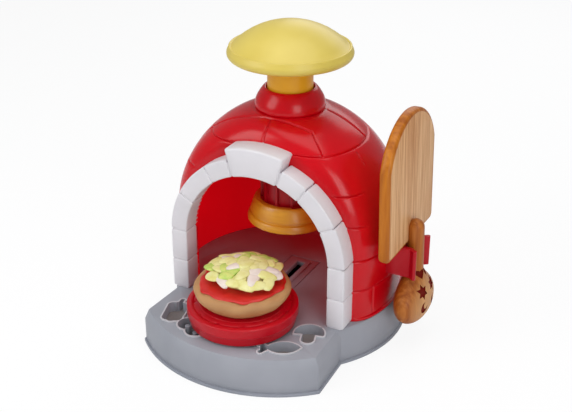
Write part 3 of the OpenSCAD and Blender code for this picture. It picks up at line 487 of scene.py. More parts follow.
# %% Turn the knob
KNOB_Z, KNOB_TOP, EDGE_R = 203, 229.0, 4.3
crown = [crown_point(degrees) for degrees in (45, 41, 36, 31, 26, 21, 16, 11, 6, 2.5)]
edge = arc(40.7, KNOB_Z + EDGE_R, EDGE_R, -90, 38, 9)
bead = [(43.7, 211.2), (43.5, 211.9), (43.0, 212.2), (42.3, 212.1), (41.9, 211.8)]
knob = turned("knob_crown", edge + bead + crown + [(POLE, KNOB_TOP)], ends="z")
give_wall(knob, 2.2)
smooth(knob, 50)
finish_piece(knob, "plunger", "knob_yellow", knob_yellow, nodes=["knob_cap"])

# %% [markdown]
# ## The stem and the collar
#
# The stem is a plain tube, so its CAD part stays and only gets its plastic, further down. The collar is a
# bell with soft shoulders and a rolled lip, turned as a closed section: the last ring is bridged back to the
# first.

# %% Turn the collar
SEAT_Z = 166.84
bell = [(25.0, 0), (25.5, 0.5), (25.6, 1.6), (25.55, 3.2), (25.2, 5.0), (24.5, 7.0), (23.4, 9.2),
        (22.1, 11.3), (20.7, 13.2), (20.0, 14.1), (19.3, 14.8), (18.5, 15.15), (17.7, 15.1),
        (17.25, 14.6), (17.2, 13.6), (17.2, 10.4), (22.2, 5.2), (22.4, 0)]
collar = turned("collar_bell", [(r, SEAT_Z + z) for r, z in bell], ends="joined")
smooth(collar, 50)
finish_piece(collar, "casing", "dome_red", dome_red, nodes=["collar_ring"])

# %% [markdown]
# ## The dome
#
# The dome is one red moulding that imitates brickwork. It is skinned ring by ring, as the turned parts are,
# but the rings and the columns stand close together where a joint between bricks will run. One joint bows
# over the doorway across both, so the faces along it are subdivided. The front is then pressed softly towards
# a flat face, the wall gets its thickness, the doorway is cut with a boolean, and the joints are pushed in
# along the wall's normal. A joint is round-bottomed, so the light catches its edge softly as on the real one.

# %% The dome's sizes and joints
DOME_R, DOME_H, DOME_ZC = 85, 90, 81.5
DECK_Z, FACE_Y, SOFT = 27.5, 42, 16
DOOR_R, SPRING_Z = 57.3, 74.3
JOINT_W, JOINT_D = 1.9, 1.0
JOINT_SLOPE = JOINT_W * 0.62   # from a joint's middle to where it meets the brick's face
JOINT_TOP, JOINT_LOW = 166.5, 29.5
LEVELS = (148.5, 123.4, 112, 101.6, 76, 52)
COURSES = [
    (LEVELS[0], [(0, 360)]),
    (LEVELS[1], [(-205, -143), (-42, -22), (60, 110)]),
    (LEVELS[2], [(30, 62), (118, 150)]),
    (LEVELS[3], [(-42, -24), (40, 95), (150, 200)]),
    (LEVELS[4], [(-40, 8), (62, 118), (160, 206)]),
    (LEVELS[5], [(-38, 30), (70, 140), (170, 200)]),
]
UPRIGHTS = [(azimuth, LEVELS[0], JOINT_TOP) for azimuth in (-90, 11, 62, 112, 160)]
UPRIGHTS += [(-40, LEVELS[0], 160.8), (-10.5, 141, LEVELS[0])]
UPRIGHTS += [(azimuth, LEVELS[1], LEVELS[0]) for azimuth in (40, 85, 135, 180)]
UPRIGHTS += [(azimuth, LEVELS[3], LEVELS[1]) for azimuth in (20, 60, 105, -205)]
UPRIGHTS += [(azimuth, LEVELS[4], LEVELS[3]) for azimuth in (70, 190)]
UPRIGHTS += [(azimuth, LEVELS[5], LEVELS[4]) for azimuth in (30, 118, 160)]
UPRIGHTS += [(azimuth, JOINT_LOW, LEVELS[5]) for azimuth in (-18, 95, 150)]
BOW_FRONT, BOW_R, BOW_FROM, BOW_TO = 28, 227, -76, 30
print("level joints:", len(COURSES), "upright joints:", len(UPRIGHTS))


# %% Helpers for the dome's form
def dome_radius(z):
    return DOME_R if z <= DOME_ZC else DOME_R * math.sqrt(max(0.0, 1 - ((z - DOME_ZC) / DOME_H) ** 2))


def upright_share(z):
    """How much a step along the wall rises at this level: 1 where it stands upright, 0 at the very top."""
    return math.cos(math.asin(min(1, max(0, (z - DOME_ZC) / DOME_H))))


def bow_away(x, y):
    """How far in front of the bowed joint's middle line a point lies, in plan."""
    return x * x / (2 * BOW_R) - BOW_FRONT - y


def press(depth):
    """Where the pressing leaves a point that lay at this depth in front of the axis."""
    share = min(2.0, max(0.0, (FACE_Y + SOFT - depth) / SOFT))
    return depth if share == 2 else FACE_Y - SOFT / 4 * share ** 2


# %% Choose its rings
CROWN_Z, CROWN_TOP_R, HOLE_R = SEAT_Z, 27.2, 17.8
FOOT_TOP, TOP_TURN = DECK_Z + 2.6, 71.4
LEVEL_STEPS = (-1.5, -0.95, -0.55, 0, 0.55, 0.95, 1.5)

levels = set(FOOT_TOP + (DOME_ZC - FOOT_TOP) * i / 12 for i in range(13))
levels.update(DOME_ZC + DOME_H * math.sin(math.radians(TOP_TURN * i / 34)) for i in range(35))
for z, _ in COURSES:
    rise = max(0.35, upright_share(z))
    levels.update(z + step * rise for step in LEVEL_STEPS)
levels = sorted(z for z in levels if z < CROWN_Z - 0.3)
levels = [z for z, after in zip(levels, levels[1:] + [math.inf]) if after - z > 0.12]
foot = [(85.8, DECK_Z), (86.2, DECK_Z + 0.4), (86.2, DECK_Z + 1.7), (85.8, DECK_Z + 2.1),
        (85.05, DECK_Z + 2.3)]
rings = foot + [(dome_radius(z), z) for z in levels] + [(CROWN_TOP_R, CROWN_Z), (HOLE_R, CROWN_Z)]

# %% Choose its columns
COLUMN_STEPS = (-1.6, -1.1, -0.7, -0.35, 0, 0.35, 0.7, 1.1, 1.6)

columns = set(i * 2.5 for i in range(144))
for azimuth, _, _ in UPRIGHTS:
    columns.update(round((azimuth + step) % 360, 2) for step in COLUMN_STEPS)
columns = sorted(columns)
columns = [a for a, after in zip(columns, columns[1:] + [columns[0] + 360]) if after - a > 0.18]
count = len(columns)
print("rings:", len(rings), "columns:", count)

# %% [markdown]
# The helper spaces a ring's points evenly. Each point is therefore swung round the axis to the azimuth that
# its column should have.

# %% Skin the dome
dome = turned("dome_skin", rings, sides=count)
flat = np.zeros(len(dome.data.vertices) * 3)
dome.data.vertices.foreach_get("co", flat)
flat = flat.reshape(-1, 3)
spot = np.round((np.degrees(np.arctan2(flat[:, 1], flat[:, 0])) % 360) / (360 / count)).astype(int) % count
radius = np.hypot(flat[:, 0], flat[:, 1])
turn = np.radians(np.array(columns))[spot]
flat[:, 0], flat[:, 1] = radius * np.cos(turn), radius * np.sin(turn)
dome.data.vertices.foreach_set("co", flat.ravel())

# %% Subdivide along the bowed joint
BOW_BAND, BOW_CUTS = 3.4, 4

pick(dome, lambda v: abs(bow_away(v.co.x / MM, v.co.y / MM)) < BOW_BAND
     and BOW_FROM - 4 < v.co.x / MM < BOW_TO + 4 and v.co.z > (LEVELS[1] - 3) * MM)
bpy.ops.mesh.subdivide(number_cuts=BOW_CUTS)
bpy.ops.object.mode_set(mode="OBJECT")
for v in dome.data.vertices:
    if v.co.y < 0 and LEVELS[1] - 8 < v.co.z / MM < CROWN_Z - 0.5:
        stretch = dome_radius(v.co.z / MM) * MM / math.hypot(v.co.x, v.co.y)
        v.co.x, v.co.y = v.co.x * stretch, v.co.y * stretch

# %% Press the front softly
for v in dome.data.vertices:
    v.co.y = -press(-v.co.y / MM) * MM
give_wall(dome, 2.5)
close_up(dome)
print("dome points:", len(dome.data.vertices))


# %% Helpers that draw out and cut
def draw_out(piece, by):
    """Extrudes a flat piece to a block, by this many millimetres along x, y and z."""
    take(piece)
    bpy.ops.object.mode_set(mode="EDIT")
    bpy.ops.mesh.select_all(action="SELECT")
    bpy.ops.mesh.extrude_region_move(TRANSFORM_OT_translate={"value": [step * MM for step in by]})
    bpy.ops.object.mode_set(mode="OBJECT")
    close_up(piece)


def cut_away(piece, cutter, name, finish="INDEX"):
    """Takes the cutter out of the piece. With TRANSFER the cut faces keep the cutter's own material."""
    cut = piece.modifiers.new(name, "BOOLEAN")
    cut.object = cutter
    cut.solver = "EXACT"
    cut.material_mode = finish
    apply_modifiers(piece)


def doorway(name, radius, y_front, y_back, low):
    """A solid in the doorway's outline: a half circle, with its lower half pulled down to straight legs."""
    deselect()
    bpy.ops.mesh.primitive_circle_add(vertices=96, radius=radius * MM, fill_type="NGON",
                                      location=(0, y_front * MM, SPRING_Z * MM), rotation=(math.pi / 2, 0, 0))
    bpy.ops.object.transform_apply(location=True, rotation=True)
    piece = bpy.context.active_object
    piece.name = name
    for v in piece.data.vertices:
        below = SPRING_Z * MM - v.co.z
        if below > 1e-6:
            at_side = abs(v.co.x) > radius * MM * 0.5
            v.co.x = math.copysign(radius * MM, v.co.x) if at_side else v.co.x * 2
            v.co.z = SPRING_Z * MM - (SPRING_Z - low) * MM * min(1, below / (radius * MM * 0.86))
    draw_out(piece, (0, y_back - y_front, 0))
    return piece


# %% Cut the doorway
cutter = doorway("door_cutter", DOOR_R, -50, -30, 20)
cut_away(dome, cutter, "doorway")
bpy.data.objects.remove(cutter)


# %% Helpers for the depth of a joint
RADIAN = 57.3   # degrees, rounded


def ease(share):
    share = max(0.0, min(1.0, share))
    return share * share * (3 - 2 * share)


def outward(x, y, z):
    """A vector that points straight out of the dome as it was before the pressing."""
    return Vector((x / DOME_R ** 2, y / DOME_R ** 2, max(0, z - DOME_ZC) / DOME_H ** 2))


def level_depth(azimuth, radius, z):
    depth, rise = 0.0, max(0.3, upright_share(z))
    for level, stretches in COURSES:
        away = abs(z - level) / rise
        if away < JOINT_W:
            for start, stop in stretches:
                inside = (azimuth - start) % 360 <= (stop - start)
                end = 0 if inside else min((start - azimuth) % 360, (azimuth - stop) % 360) * radius / RADIAN
                depth = max(depth, (1 - ease(away / JOINT_SLOPE)) * (1 - ease(end / 2)))
    return depth


def upright_depth(azimuth, radius, z):
    depth = 0.0
    for turn, low, high in UPRIGHTS:
        side = abs((azimuth - turn + 180) % 360 - 180) * radius / RADIAN
        beyond = max(0, low - z, z - high)
        if side < JOINT_W and beyond < 1:
            depth = max(depth, (1 - ease(side / JOINT_SLOPE)) * (1 - ease(beyond)))
    return depth


def bow_depth(x, y, z):
    if y >= 0 or abs(bow_away(x, y)) >= 4:
        return 0.0
    slope = Vector((x / BOW_R, -1))
    across = slope.normalized().dot(Vector((x / DOME_R ** 2, y / DOME_R ** 2))) / outward(x, y, z).length
    away = abs(bow_away(x, y)) / slope.length / math.sqrt(1 - across ** 2)
    beyond = max(0, BOW_FROM - x, x - BOW_TO, LEVELS[1] - z)
    return (1 - ease(away / JOINT_SLOPE)) * (1 - ease(beyond / 1.5))


def joint_depth(x, y, z):
    azimuth, radius = math.degrees(math.atan2(y, x)), math.hypot(x, y)
    deepest = max(level_depth(azimuth, radius, z), upright_depth(azimuth, radius, z), bow_depth(x, y, z))
    return deepest * JOINT_D


# %% Push in the brick joints
NEAR = 0.6   # a point this close to the outer form lies on the dome's outer face

moved = 0
for v in dome.data.vertices:
    x, y, z = v.co / MM
    before = -math.sqrt(max(0, dome_radius(z) ** 2 - x * x)) if y < 0 else y
    outside = abs(y + press(-before)) < NEAR if y < 0 else math.hypot(x, y) > dome_radius(z) - NEAR
    if outside and FOOT_TOP + 0.1 < z < CROWN_Z - 0.4:
        depth = joint_depth(x, before, z)
        if depth > 0.01:
            normal = outward(x, before, z)
            share = min(1.0, max(0.0, (FACE_Y + SOFT + before) / SOFT / 2))
            normal = Vector((normal.x * share, normal.y, normal.z * share)).normalized()
            v.co -= normal * depth * MM
            moved += 1
print("joint points:", moved)

# %% Give the dome its two finishes
dome.data.materials.clear()
dome.data.materials.append(dome_red)
# The second finish, for the inner faces, carries the painted red glow.
dome.data.materials.append(dome_inside_painted_glow)
for face in dome.data.polygons:
    faces_in = face.normal.dot(outward(*(face.center / MM)).normalized()) < -0.3
    face.material_index = 1 if faces_in else 0
smooth(dome, 60)
finish_piece(dome, "casing", "dome_red", nodes=["dome_shell"])

# %% [markdown]
# ## The archway
#
# The arch is one white moulding that shows eleven bricks. Each brick starts as a thin grid that is extruded
# to a block, gets rounded edges from a Bevel modifier, and is then laid round the arch by its own length. A
# plain band, set back a little behind their faces, holds the bricks together and closes the joints.

# %% Helpers for one brick
HALF_BRICK = 6   # a brick keeps its length this far out from the doorway's edge


def rounded(piece, width, segments, degrees):
    edge = piece.modifiers.new("edge", "BEVEL")
    edge.width = width * MM
    edge.segments = segments
    edge.limit_method = "ANGLE"
    edge.angle_limit = math.radians(degrees)
    apply_modifiers(piece)


def brick(name, length, width, depth, rounding, cuts=8):
    deselect()
    bpy.ops.mesh.primitive_grid_add(x_subdivisions=cuts, y_subdivisions=2, size=1)
    piece = bpy.context.active_object
    piece.name = name
    piece.scale = (length * MM, depth * MM, 1)
    bpy.ops.object.transform_apply(scale=True)
    draw_out(piece, (0, 0, width))
    rounded(piece, rounding, 3, 40)
    return piece


def lay_on_arch(piece, middle, radius, front):
    """Bends a brick round the arch's centre: its x runs along the arch, its z outwards."""
    for v in piece.data.vertices:
        turn = v.co.x / ((radius + HALF_BRICK) * MM) + math.radians(middle)
        reach = radius * MM + v.co.z
        v.co = (reach * math.sin(turn), front * MM + v.co.y, SPRING_Z * MM + reach * math.cos(turn))


# %% Lay the bricks
ARCH_FRONT, ARCH_BACK, BRICK_W = -55.5, -39, 13.2
ARCH_D, ARCH_Y = ARCH_BACK - ARCH_FRONT, (ARCH_FRONT + ARCH_BACK) / 2
GAP, BRICK_EDGE = 0.7, 1.0
BRICK_TURNS = [(17.9, 35.5), (35.5, 62.2), (62.2, 88.5)]
LEG_LEVELS = [(DECK_Z, 51), (51, 76)]

bricks = []
for side in (-1, 1):
    for i, (start, stop) in enumerate(BRICK_TURNS):
        length = math.radians(stop - start) * (DOOR_R + HALF_BRICK) - GAP
        block = brick(f"arch_brick_{side}_{i}", length, BRICK_W, ARCH_D, BRICK_EDGE)
        lay_on_arch(block, side * (start + stop) / 2, DOOR_R, ARCH_Y)
        bricks.append(block)
    for i, (low, high) in enumerate(LEG_LEVELS):
        block = brick(f"arch_leg_{side}_{i}", high - low - GAP, BRICK_W, ARCH_D, BRICK_EDGE, cuts=2)
        for v in block.data.vertices:
            v.co = (side * (DOOR_R * MM + v.co.z), ARCH_Y * MM + v.co.y,
                    (low + high) / 2 * MM + v.co.x + (0 if i else GAP / 2 * MM))
        bricks.append(block)

# %% Set the keystone
KEY_TURN, KEY_RISE, KEY_FORWARD, KEY_EDGE = 34, 8.3, 1, 1.6

key = brick("arch_key", math.radians(KEY_TURN) * (DOOR_R + HALF_BRICK) + 0.2, BRICK_W + KEY_RISE,
            ARCH_D + KEY_FORWARD, KEY_EDGE)
lay_on_arch(key, 0, DOOR_R, ARCH_Y - KEY_FORWARD / 2)
bricks.append(key)
print("bricks:", len(bricks))

# %% Join the bricks to their band
band = doorway("arch_band", DOOR_R + BRICK_W - 2.2, ARCH_FRONT + 0.7, ARCH_BACK - 0.02, DECK_Z)
opening = doorway("arch_opening", DOOR_R + 0.9, ARCH_FRONT - 5, ARCH_BACK + 5, DECK_Z - 5)
cut_away(band, opening, "opening")
bpy.data.objects.remove(opening)
for block in bricks:
    close_up(block)
take(band)
for block in bricks:
    block.select_set(True)
bpy.ops.object.join()
arch = bpy.context.active_object
arch.name = "arch_bricks"
smooth(arch, 40)
finish_piece(arch, "casing", "arch_white", arch_white, nodes=["door_arch"])

# %% [markdown]
# ## Softened copies
#
# The base, its bottom plate, the clip and the nozzle cup have the right shape already, but a real moulding
# has no sharp edge. A copy of each has its points merged, and a Bevel modifier rounds every edge that turns
# by more than a set angle. On the base, the faces of the topping moulds get greys of their own: the raised
# rims a paler one, a painted highlight, and the moulds' floors a darker one, a painted shade.

# %% A helper that softens a CAD part
def softened(node, name, width, degrees=30):
    piece = bpy.data.objects.new(name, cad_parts[node].data.copy())
    bpy.context.scene.collection.objects.link(piece)
    take(piece)
    bpy.ops.mesh.customdata_custom_splitnormals_clear()
    bpy.ops.object.mode_set(mode="EDIT")
    bpy.ops.mesh.select_all(action="SELECT")
    bpy.ops.mesh.remove_doubles(threshold=2e-6)
    bpy.ops.mesh.dissolve_limited(angle_limit=math.radians(0.4))
    bpy.ops.object.mode_set(mode="OBJECT")
    rounded(piece, width, 2, degrees)
    smooth(piece, 40)
    return piece


# %% Soften the base
APRON_Y, TRACK_X, MOULD_D, RIM_H = -60, 13, 7, 0.25

base = softened("base_tray", "base_soft", 0.5)
base.data.materials.clear()
for material in (base_grey, rim_painted_highlight_grey, mould_floor_painted_shade_grey):
    base.data.materials.append(material)
for face in base.data.polygons:
    x, y, z = face.center / MM
    on_apron = y < APRON_Y and abs(x) > TRACK_X
    # Rims take the paler grey, a painted highlight; mould floors take the darker grey, a painted shade.
    if on_apron and z > DECK_Z + RIM_H:
        face.material_index = 1
    elif on_apron and face.normal.z > 0.9 and abs(z - (DECK_Z - MOULD_D)) < 0.5:
        face.material_index = 2
finish_piece(base, "casing", "base_grey", nodes=["base_tray"])
plate = softened("bottom_plate", "plate_soft", 0.5)
finish_piece(plate, "casing", "base_grey_dark", plate_grey, nodes=["bottom_plate"])

# %% Soften the clip and the nozzle cup
clip = softened("peel_clip", "clip_soft", 0.6)
finish_piece(clip, "casing", "dome_red", clip_red, nodes=["peel_clip"])
cup = softened("nozzle_cup", "cup_soft", 0.35, degrees=45)
finish_piece(cup, "nozzle", "cup_orange", cup_orange, nodes=["nozzle_cup"])

# %% [markdown]
# The barrel, the stem and the parts further in have plain forms, and the screws hardly show. Their CAD parts
# stay as they are and only get a finish.

# %% Finish the inner parts
inner = {"barrel": barrel_red, "die_disc": die_yellow, "knob_underside": knob_yellow,
         "plunger_stem": stem_orange, "piston_head": piston_cream, "piston_seal": seal_black,
         "pan_slider": barrel_red}
for place in ("base", "dome", "arch", "barrel", "knob", "clip", "slider"):
    inner[place + "_screws"] = plated_steel
inner["stem_screw"] = plated_steel
for node, material in inner.items():
    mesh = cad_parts[node].data
    mesh.materials.clear()
    mesh.materials.append(material)
print("inner parts finished:", len(inner))

# %% [markdown]
# ## The pan
#
# The pan is a shallow red drum, hollow from below: its wall draws in below a low step, and its rim is broad
# and nearly flush with the plate in it. The plate has small notches round its edge and carries the pizza.
# Both are turned on the axis and then moved forward to where the pan stands at rest.

# %% Turn the pan
PAN_Y, PAN_LOW, PAN_HOLLOW = 73.6, 28.8, 10.5


def to_pan(piece):
    piece.data.transform(Matrix.Translation((0, -PAN_Y * MM, 0)))


outer_wall = [(33.8, PAN_LOW), (37.0, PAN_LOW), (38.0, 29.3), (38.4, 30.6), (39.2, 34.9), (39.5, 35.6),
              (39.9, 35.9), (40.0, 36.4), (40.0, 41.9)]
rim = [(38.0, 43.2), (36.4, 43.4), (35.6, 43.2), (34.9, 42.9), (33.0, 42.8), (POLE, 42.8)]
pan = turned("pan_drum", outer_wall + arc(39.2, 42.2, 0.8, 0, 80, 4) + rim, ends="z")
pick(pan, lambda v: abs(v.co.z - PAN_LOW * MM) < 1e-6 and math.hypot(v.co.x, v.co.y) < 34 * MM)
bpy.ops.mesh.extrude_region_move(TRANSFORM_OT_translate={"value": (0, 0, PAN_HOLLOW * MM)})
bpy.ops.mesh.merge(type="CENTER")
bpy.ops.object.mode_set(mode="OBJECT")
close_up(pan)
to_pan(pan)
smooth(pan, 45)
finish_piece(pan, "pan", "pan_red", pan_red, nodes=["pan_tray"])

# %% Turn the plate in it
NOTCH_EVERY, NOTCH_D = 30, 1.2

plate_rings = [(POLE, 41.6), (34.7, 41.6), (35.0, 42.2), (34.9, 43.1), (34.3, 43.5), (31.9, 43.9),
               (31.3, 44.1), (31.0, 44.4), (30.4, 44.5), (20, 44.5), (POLE, 44.5)]
insert = turned("pan_plate", plate_rings, ends="a+z")
for v in insert.data.vertices:
    azimuth = math.degrees(math.atan2(v.co.y, v.co.x))
    notch = abs((azimuth + NOTCH_EVERY / 2) % NOTCH_EVERY - NOTCH_EVERY / 2) < 1
    if notch and math.hypot(v.co.x, v.co.y) > 32.5 * MM and v.co.z > 43 * MM:
        v.co.z -= NOTCH_D * MM
to_pan(insert)
smooth(insert, 30)
finish_piece(insert, "pan", "pan_red", pan_red, nodes=["pan_insert"])

# %% [markdown]
# ## The dough pizza
#
# The crust is a round of dough pressed by hand. It is wider at its top than at its foot, and its lip waves a
# little. The rings of a turned form are moved by sines and a smooth noise to make those waves. The noise gets
# a fixed seed, so the lumps are the same each time. The sauce is a thinner sheet with a scalloped edge.

# %% A helper for waves round a rim
def waves(x, y, *sines):
    """The sum of some sines round the axis, each given as (height, how many, shift in degrees)."""
    turn = math.degrees(math.atan2(y, x))
    return sum(height * math.sin(math.radians(many * turn + shift)) for height, many, shift in sines)


# %% Roll the crust
LUMP_SIZE, LUMP_H, LUMP_SEED, CRUST_LOW = 9, 0.35, 5, 45.2

crust_rings = [(POLE, 44.5), (20, 44.5), (25.0, 44.5), (26.9, 44.9), (29.6, 46.8), (32.0, 49.2),
               (33.8, 51.9), (34.7, 54.2), (34.9, 55.8), (34.3, 57.4), (33.1, 58.5), (31.4, 59.1),
               (29, 59.1), (20, 59.1), (POLE, 59.1)]
crust = turned("crust_round", crust_rings, sides=80, ends="a+z")
rounding = crust.modifiers.new("soft", "SUBSURF")
rounding.levels = rounding.render_levels = 1
apply_modifiers(crust)
for v in crust.data.vertices:
    x, y, z = v.co / MM
    wave = waves(x, y, (0.4, 7, 0), (0.3, 13, 50)) - 0.3
    v.co.z += wave * MM * ease((math.hypot(x, y) - 28) / 4) * ease((z - 50) / 5)
noise.seed_set(LUMP_SEED)
for v in crust.data.vertices:
    if v.co.z > CRUST_LOW * MM:
        v.co += Vector(noise.noise_vector(v.co / MM / LUMP_SIZE)) * LUMP_H * MM
to_pan(crust)
smooth(crust, 60)
finish_piece(crust, "pan", "dough_tan", crust_dough, nodes=["pizza_crust"])

# %% Spread the sauce
SAUCE_FLAT = 22   # the sheet stays plain inside this radius

sauce_rings = [(POLE, 58.4), (20, 58.4), (29.0, 58.4), (30.2, 58.8), (30.5, 59.4), (30.0, 60.0),
               (28.8, 60.3), (24, 60.5), (12, 60.6), (POLE, 60.6)]
sauce = turned("sauce_sheet", sauce_rings, sides=120, ends="a+z")
for v in sauce.data.vertices:
    x, y, _ = v.co / MM
    far = math.hypot(x, y)
    if far > SAUCE_FLAT:
        scallop = waves(x, y, (0.8, 5, 0), (0.55, 11, 40), (0.35, 17, 10))
        grow = 1 + scallop * ease((far - SAUCE_FLAT) / 7) / far
        v.co.x *= grow
        v.co.y *= grow
        v.co.z += waves(x, y, (0.25, 9, 0)) * MM * ease((far - 24) / 6)
to_pan(sauce)
smooth(sauce, 60)
finish_piece(sauce, "pan", "dough_red", sauce_dough, nodes=["pizza_sauce"])

# %% [markdown]
# ## The toppings
#
# The heap of toppings is made of pressed dough flakes in cream, pale pink and green. Three flakes are
# modelled from squashed spheres with blunt ends. Each is then copied many times, turned and laid on the
# heap in rings from the outside in, so that the upper ones lie on the lower ones. The seed is fixed, so the
# heap is the same each time. A plain mound under the flakes closes the gaps between them.

# %% Model three flakes
TAPER = 0.22


def flake(name, length, width, thick, blunt, bend):
    """A flake that tapers along x. Blunt is the share of the sphere's length that is kept."""
    deselect()
    bpy.ops.mesh.primitive_uv_sphere_add(segments=14, ring_count=8, radius=1)
    piece = bpy.context.active_object
    piece.name = name
    for v in piece.data.vertices:
        x, y, z = v.co
        x = max(-blunt, min(blunt, x)) / blunt
        v.co = (x * length / 2 * MM, y * (1 - TAPER * x) * width / 2 * MM,
                (math.copysign(abs(z) ** 0.7, z) * thick / 2 - bend * x * x) * MM)
    return piece


flakes = [flake("flake_long", 15.5, 8.2, 2.4, 0.86, 0.5), flake("flake_wide", 12.5, 9.4, 2.2, 0.9, 0.3),
          flake("flake_short", 10.5, 7.4, 2.4, 0.8, 0.3)]


# %% Helpers for the heap
HEAP_RIM_Z, HEAP_RISE, HEAP_R = 64.6, 5.4, 30


def copied(piece):
    twin = piece.copy()
    twin.data = piece.data.copy()
    bpy.context.scene.collection.objects.link(twin)
    return twin


def rotation(degrees, axis):
    return Matrix.Rotation(math.radians(degrees), 4, axis)


def heap_height(far):
    return HEAP_RIM_Z + HEAP_RISE * max(0.0, 1 - (far / HEAP_R) ** 2)


# %% Lay the flakes
LAYERS = [(23.2, 15, 0.0), (19.0, 12, 0.7), (13.6, 9, 1.1), (8.0, 6, 1.5), (2.5, 3, 1.8)]
OUTER_SPINS, INNER_SPINS = (60, 80, 100, 120, 40), (-35, 0, 30, 70, 110)
DOUGHS = [cream_dough, pale_dough, green_dough]
ORDER = [0, 1, 0, 2, 0, 0, 1, 0, 0, 2, 0, 1, 0, 2, 0]

chance = random.Random(11)
laid = []
for far, how_many, lift in LAYERS:
    for i in range(how_many):
        turn = 360 * (i + 0.5 * (far > 10)) / how_many + chance.uniform(-7, 7)
        reach = far + chance.uniform(-1.6, 1.2)
        piece = copied(flakes[chance.choice((0, 0, 1, 1, 2))])
        spin = chance.choice(OUTER_SPINS if far > 22 else INNER_SPINS)
        slope = math.degrees(math.atan2(heap_height(reach - 2) - heap_height(reach + 2), 4))
        place = (Matrix.Translation((reach * math.cos(math.radians(turn)) * MM,
                                     reach * math.sin(math.radians(turn)) * MM,
                                     (heap_height(reach) + lift + chance.uniform(-0.3, 0.5)) * MM))
                 @ rotation(turn, "Z") @ rotation(slope + chance.uniform(-11, 11), "Y")
                 @ rotation(spin, "Z") @ rotation(chance.uniform(-8, 8), "X"))
        piece.data.transform(place)
        piece.data.materials.append(DOUGHS[ORDER[(len(laid) * 4 + 1) % len(ORDER)]])
        laid.append(piece)
for model in flakes:
    bpy.data.objects.remove(model)
print("flakes laid:", len(laid))

# %% Put the mound under them
HEAP_BACK = 3.6   # the heap stands a little behind the crust's middle
MOUND_LOW = 60.0

mound_rings = [(17.5, MOUND_LOW), (19.5, 61.8), (20.5, 64.2), (18, 66.6), (11, 68.4), (POLE, 69.4)]
mound = turned("topping_mound", mound_rings, sides=48, ends="z")
mound.data.materials.append(cream_dough)
pick(mound, lambda v: v.co.z < (MOUND_LOW + 0.1) * MM)
bpy.ops.mesh.edge_face_add()
bpy.ops.object.mode_set(mode="OBJECT")
take(mound)
for piece in laid:
    piece.select_set(True)
bpy.ops.object.join()
toppings = bpy.context.active_object
toppings.name = "topping_flakes"
toppings.data.transform(Matrix.Translation((0, HEAP_BACK * MM, 0)))
to_pan(toppings)
smooth(toppings, 60)
finish_piece(toppings, "pan", "dough_cream", nodes=["pizza_cheese"])

# %% [markdown]
# ## The peel
#
# The peel is a board with a round top and thick soft edges, on a rod that ends in a flattened pear-shaped
# handle. The board is an outline that is filled and extruded, and a bevel rounds its edges. The handle is
# lofted from oval rings, and booleans press the stamps into it. A slightly smaller copy of the handle is
# taken out of each cutter first, so the stamp's floor follows the handle. The cutters and that copy carry the
# dark brown finish, a painted shade in the stamps' hollows.

# %% Shape the board
PEEL_X, CLIP_LOW, LEAN = 101.5, 57.55, 1.4
BOARD_OUT, BOARD_T, BOARD_Z, BOARD_H, BOARD_W, TOP_RISE = 98.0, 8.0, 81.0, 99.0, 86.0, 32.0
CORNER_R, BOARD_EDGE = 5, 2.8


def on_circle(radius, degrees):
    return radius * math.cos(math.radians(degrees)), radius * math.sin(math.radians(degrees))


def flat_piece(name, outline, x, y, z):
    """Fills an outline of points (y, z) that stands upright at this place, facing along x."""
    deselect()
    bpy.ops.mesh.primitive_circle_add(vertices=len(outline), radius=1, fill_type="NGON")
    piece = bpy.context.active_object
    piece.name = name
    for v, (a, b) in zip(piece.data.vertices, outline):
        v.co = (x * MM, (y + a) * MM, (z + b) * MM)
    return piece


def lean_peel(piece):
    pivot = Matrix.Translation((PEEL_X * MM, 0, CLIP_LOW * MM))
    piece.data.transform(pivot @ Matrix.Rotation(math.radians(-LEAN), 4, "Y") @ pivot.inverted())


half = BOARD_W / 2
top_r = (half * half + TOP_RISE * TOP_RISE) / (2 * TOP_RISE)
top_half = math.degrees(math.asin(half / top_r))
corner = [(half - CORNER_R + a, CORNER_R - b)
          for a, b in (on_circle(CORNER_R, t) for t in range(90, -1, -15))]
top = [(b, BOARD_H - top_r + a) for a, b in (on_circle(top_r, top_half * (1 - i / 12)) for i in range(25))]
outline = corner + top + [(-y, z) for y, z in reversed(corner)]
board = flat_piece("peel_board", outline, BOARD_OUT - BOARD_T, 0, BOARD_Z)
draw_out(board, (BOARD_T, 0, 0))
rounded(board, BOARD_EDGE, 4, 60)
board.data.materials.append(board_grain)
board.data.materials.append(edge_brown)
for face in board.data.polygons:
    face.material_index = 0 if abs(face.normal.x) > 0.985 else 1
lean_peel(board)
smooth(board, 40)
finish_piece(board, "peel", "peel_tan")

# %% Helpers for the pear shape
HANDLE_LOW, HANDLE_MID, HANDLE_TOP = 17.4, 34.4, 63.0
HANDLE_A, HANDLE_B, ROD_R, ROD_TOP = 12.3, 25.5, 6.2, 99.0


def pear_share(z):
    """1 at the handle's widest level, falling to 0 at its lower end and at its neck."""
    if z <= HANDLE_MID:
        return math.sqrt(max(0.0, 1 - ((HANDLE_MID - z) / (HANDLE_MID - HANDLE_LOW)) ** 2))
    return 0.5 + 0.5 * math.cos(math.pi * min(1.0, (z - HANDLE_MID) / (HANDLE_TOP - HANDLE_MID)) ** 1.2)


def pear_half(z, full):
    return full * pear_share(z) if z <= HANDLE_MID else ROD_R + (full - ROD_R) * pear_share(z)


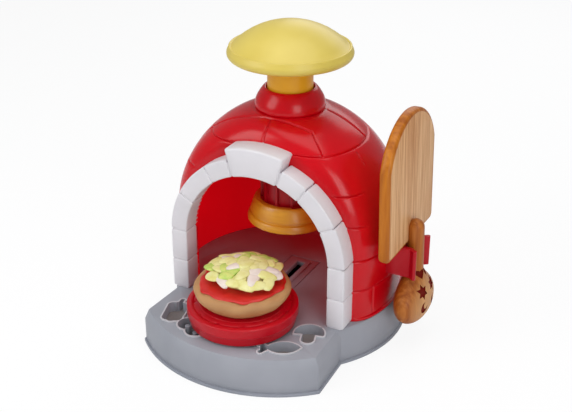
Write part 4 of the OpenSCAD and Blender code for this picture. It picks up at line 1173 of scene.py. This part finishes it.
# %% Loft the handle
stations = [HANDLE_MID - on_circle(HANDLE_MID - HANDLE_LOW, t)[0] for t in (6, 14, 23, 33, 44, 56, 68, 79)]
stations += [HANDLE_MID + (HANDLE_TOP - HANDLE_MID) * i / 16 for i in range(17)]
rings = [(POLE, POLE, HANDLE_LOW)] + [(pear_half(z, HANDLE_A), pear_half(z, HANDLE_B), z) for z in stations]
rings += [(ROD_R, ROD_R, z) for z in (70, 78, 86, ROD_TOP - ROD_R)]
rings += [(a, a, ROD_TOP - ROD_R + b) for a, b in (on_circle(ROD_R, t) for t in (15, 32, 50, 68, 82))]
rings += [(POLE, POLE, ROD_TOP)]
handle = lofted("peel_handle", rings, sides=56, ends="a+z")
handle.data.materials.append(handle_brown)


# %% Draw the stamps
def heart_point(t):
    swell = 3.4 * math.cos(math.radians(t)) - 1.3 * math.cos(math.radians(2 * t))
    return 3.7 * math.sin(math.radians(t)) ** 3, swell - 0.5 * math.cos(math.radians(3 * t)) + 0.6


STAR_R, STAR_NOTCH_R = 5.9, 3.2

heart = [(0, -5.0)] + [heart_point(t) for t in range(160, -161, -20)]
star = [on_circle(STAR_NOTCH_R if i % 2 else STAR_R, 90 - 30 * i) for i in range(12)]
crescent = [on_circle(4.4, t) for t in range(75, 366, 18)]
crescent += [(1.9 + a, 1.5 + b) for a, b in (on_circle(3.0, t) for t in range(290, 110, -20))]

# %% Shrink a core for their floors
STAMP_D = 0.8

core = copied(handle)
core.data.materials.clear()
# The core's dark brown becomes the stamps' floors: a painted shade.
core.data.materials.append(stamp_painted_shade_brown)
shrink = core.modifiers.new("shrink", "DISPLACE")
shrink.strength = -STAMP_D * MM
shrink.mid_level = 0
apply_modifiers(core)

# %% Press in the stamps
STAMPS = (("heart", heart, 3.8, 57.3), ("star", star, 8, 45.7), ("crescent", crescent, 8, 33.4))

for side in (-1, 1):
    for name, outline, y, z in STAMPS:
        cutter = flat_piece(f"stamp_{name}_{side}", outline, 0, side * y, z)
        draw_out(cutter, (20, 0, 0))
        cutter.data.materials.append(stamp_painted_shade_brown)
        cut_away(cutter, core, "floor", "TRANSFER")
        cut_away(handle, cutter, name, "TRANSFER")
        bpy.data.objects.remove(cutter)
bpy.data.objects.remove(core)
handle.data.transform(Matrix.Translation((PEEL_X * MM, 0, 0)))
lean_peel(handle)
smooth(handle, 40)
finish_piece(handle, "peel", "peel_tan")
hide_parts("pizza_peel")
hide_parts("pizza_peel")

# %% [markdown]
# ## Finish

# %% Finish
deselect()
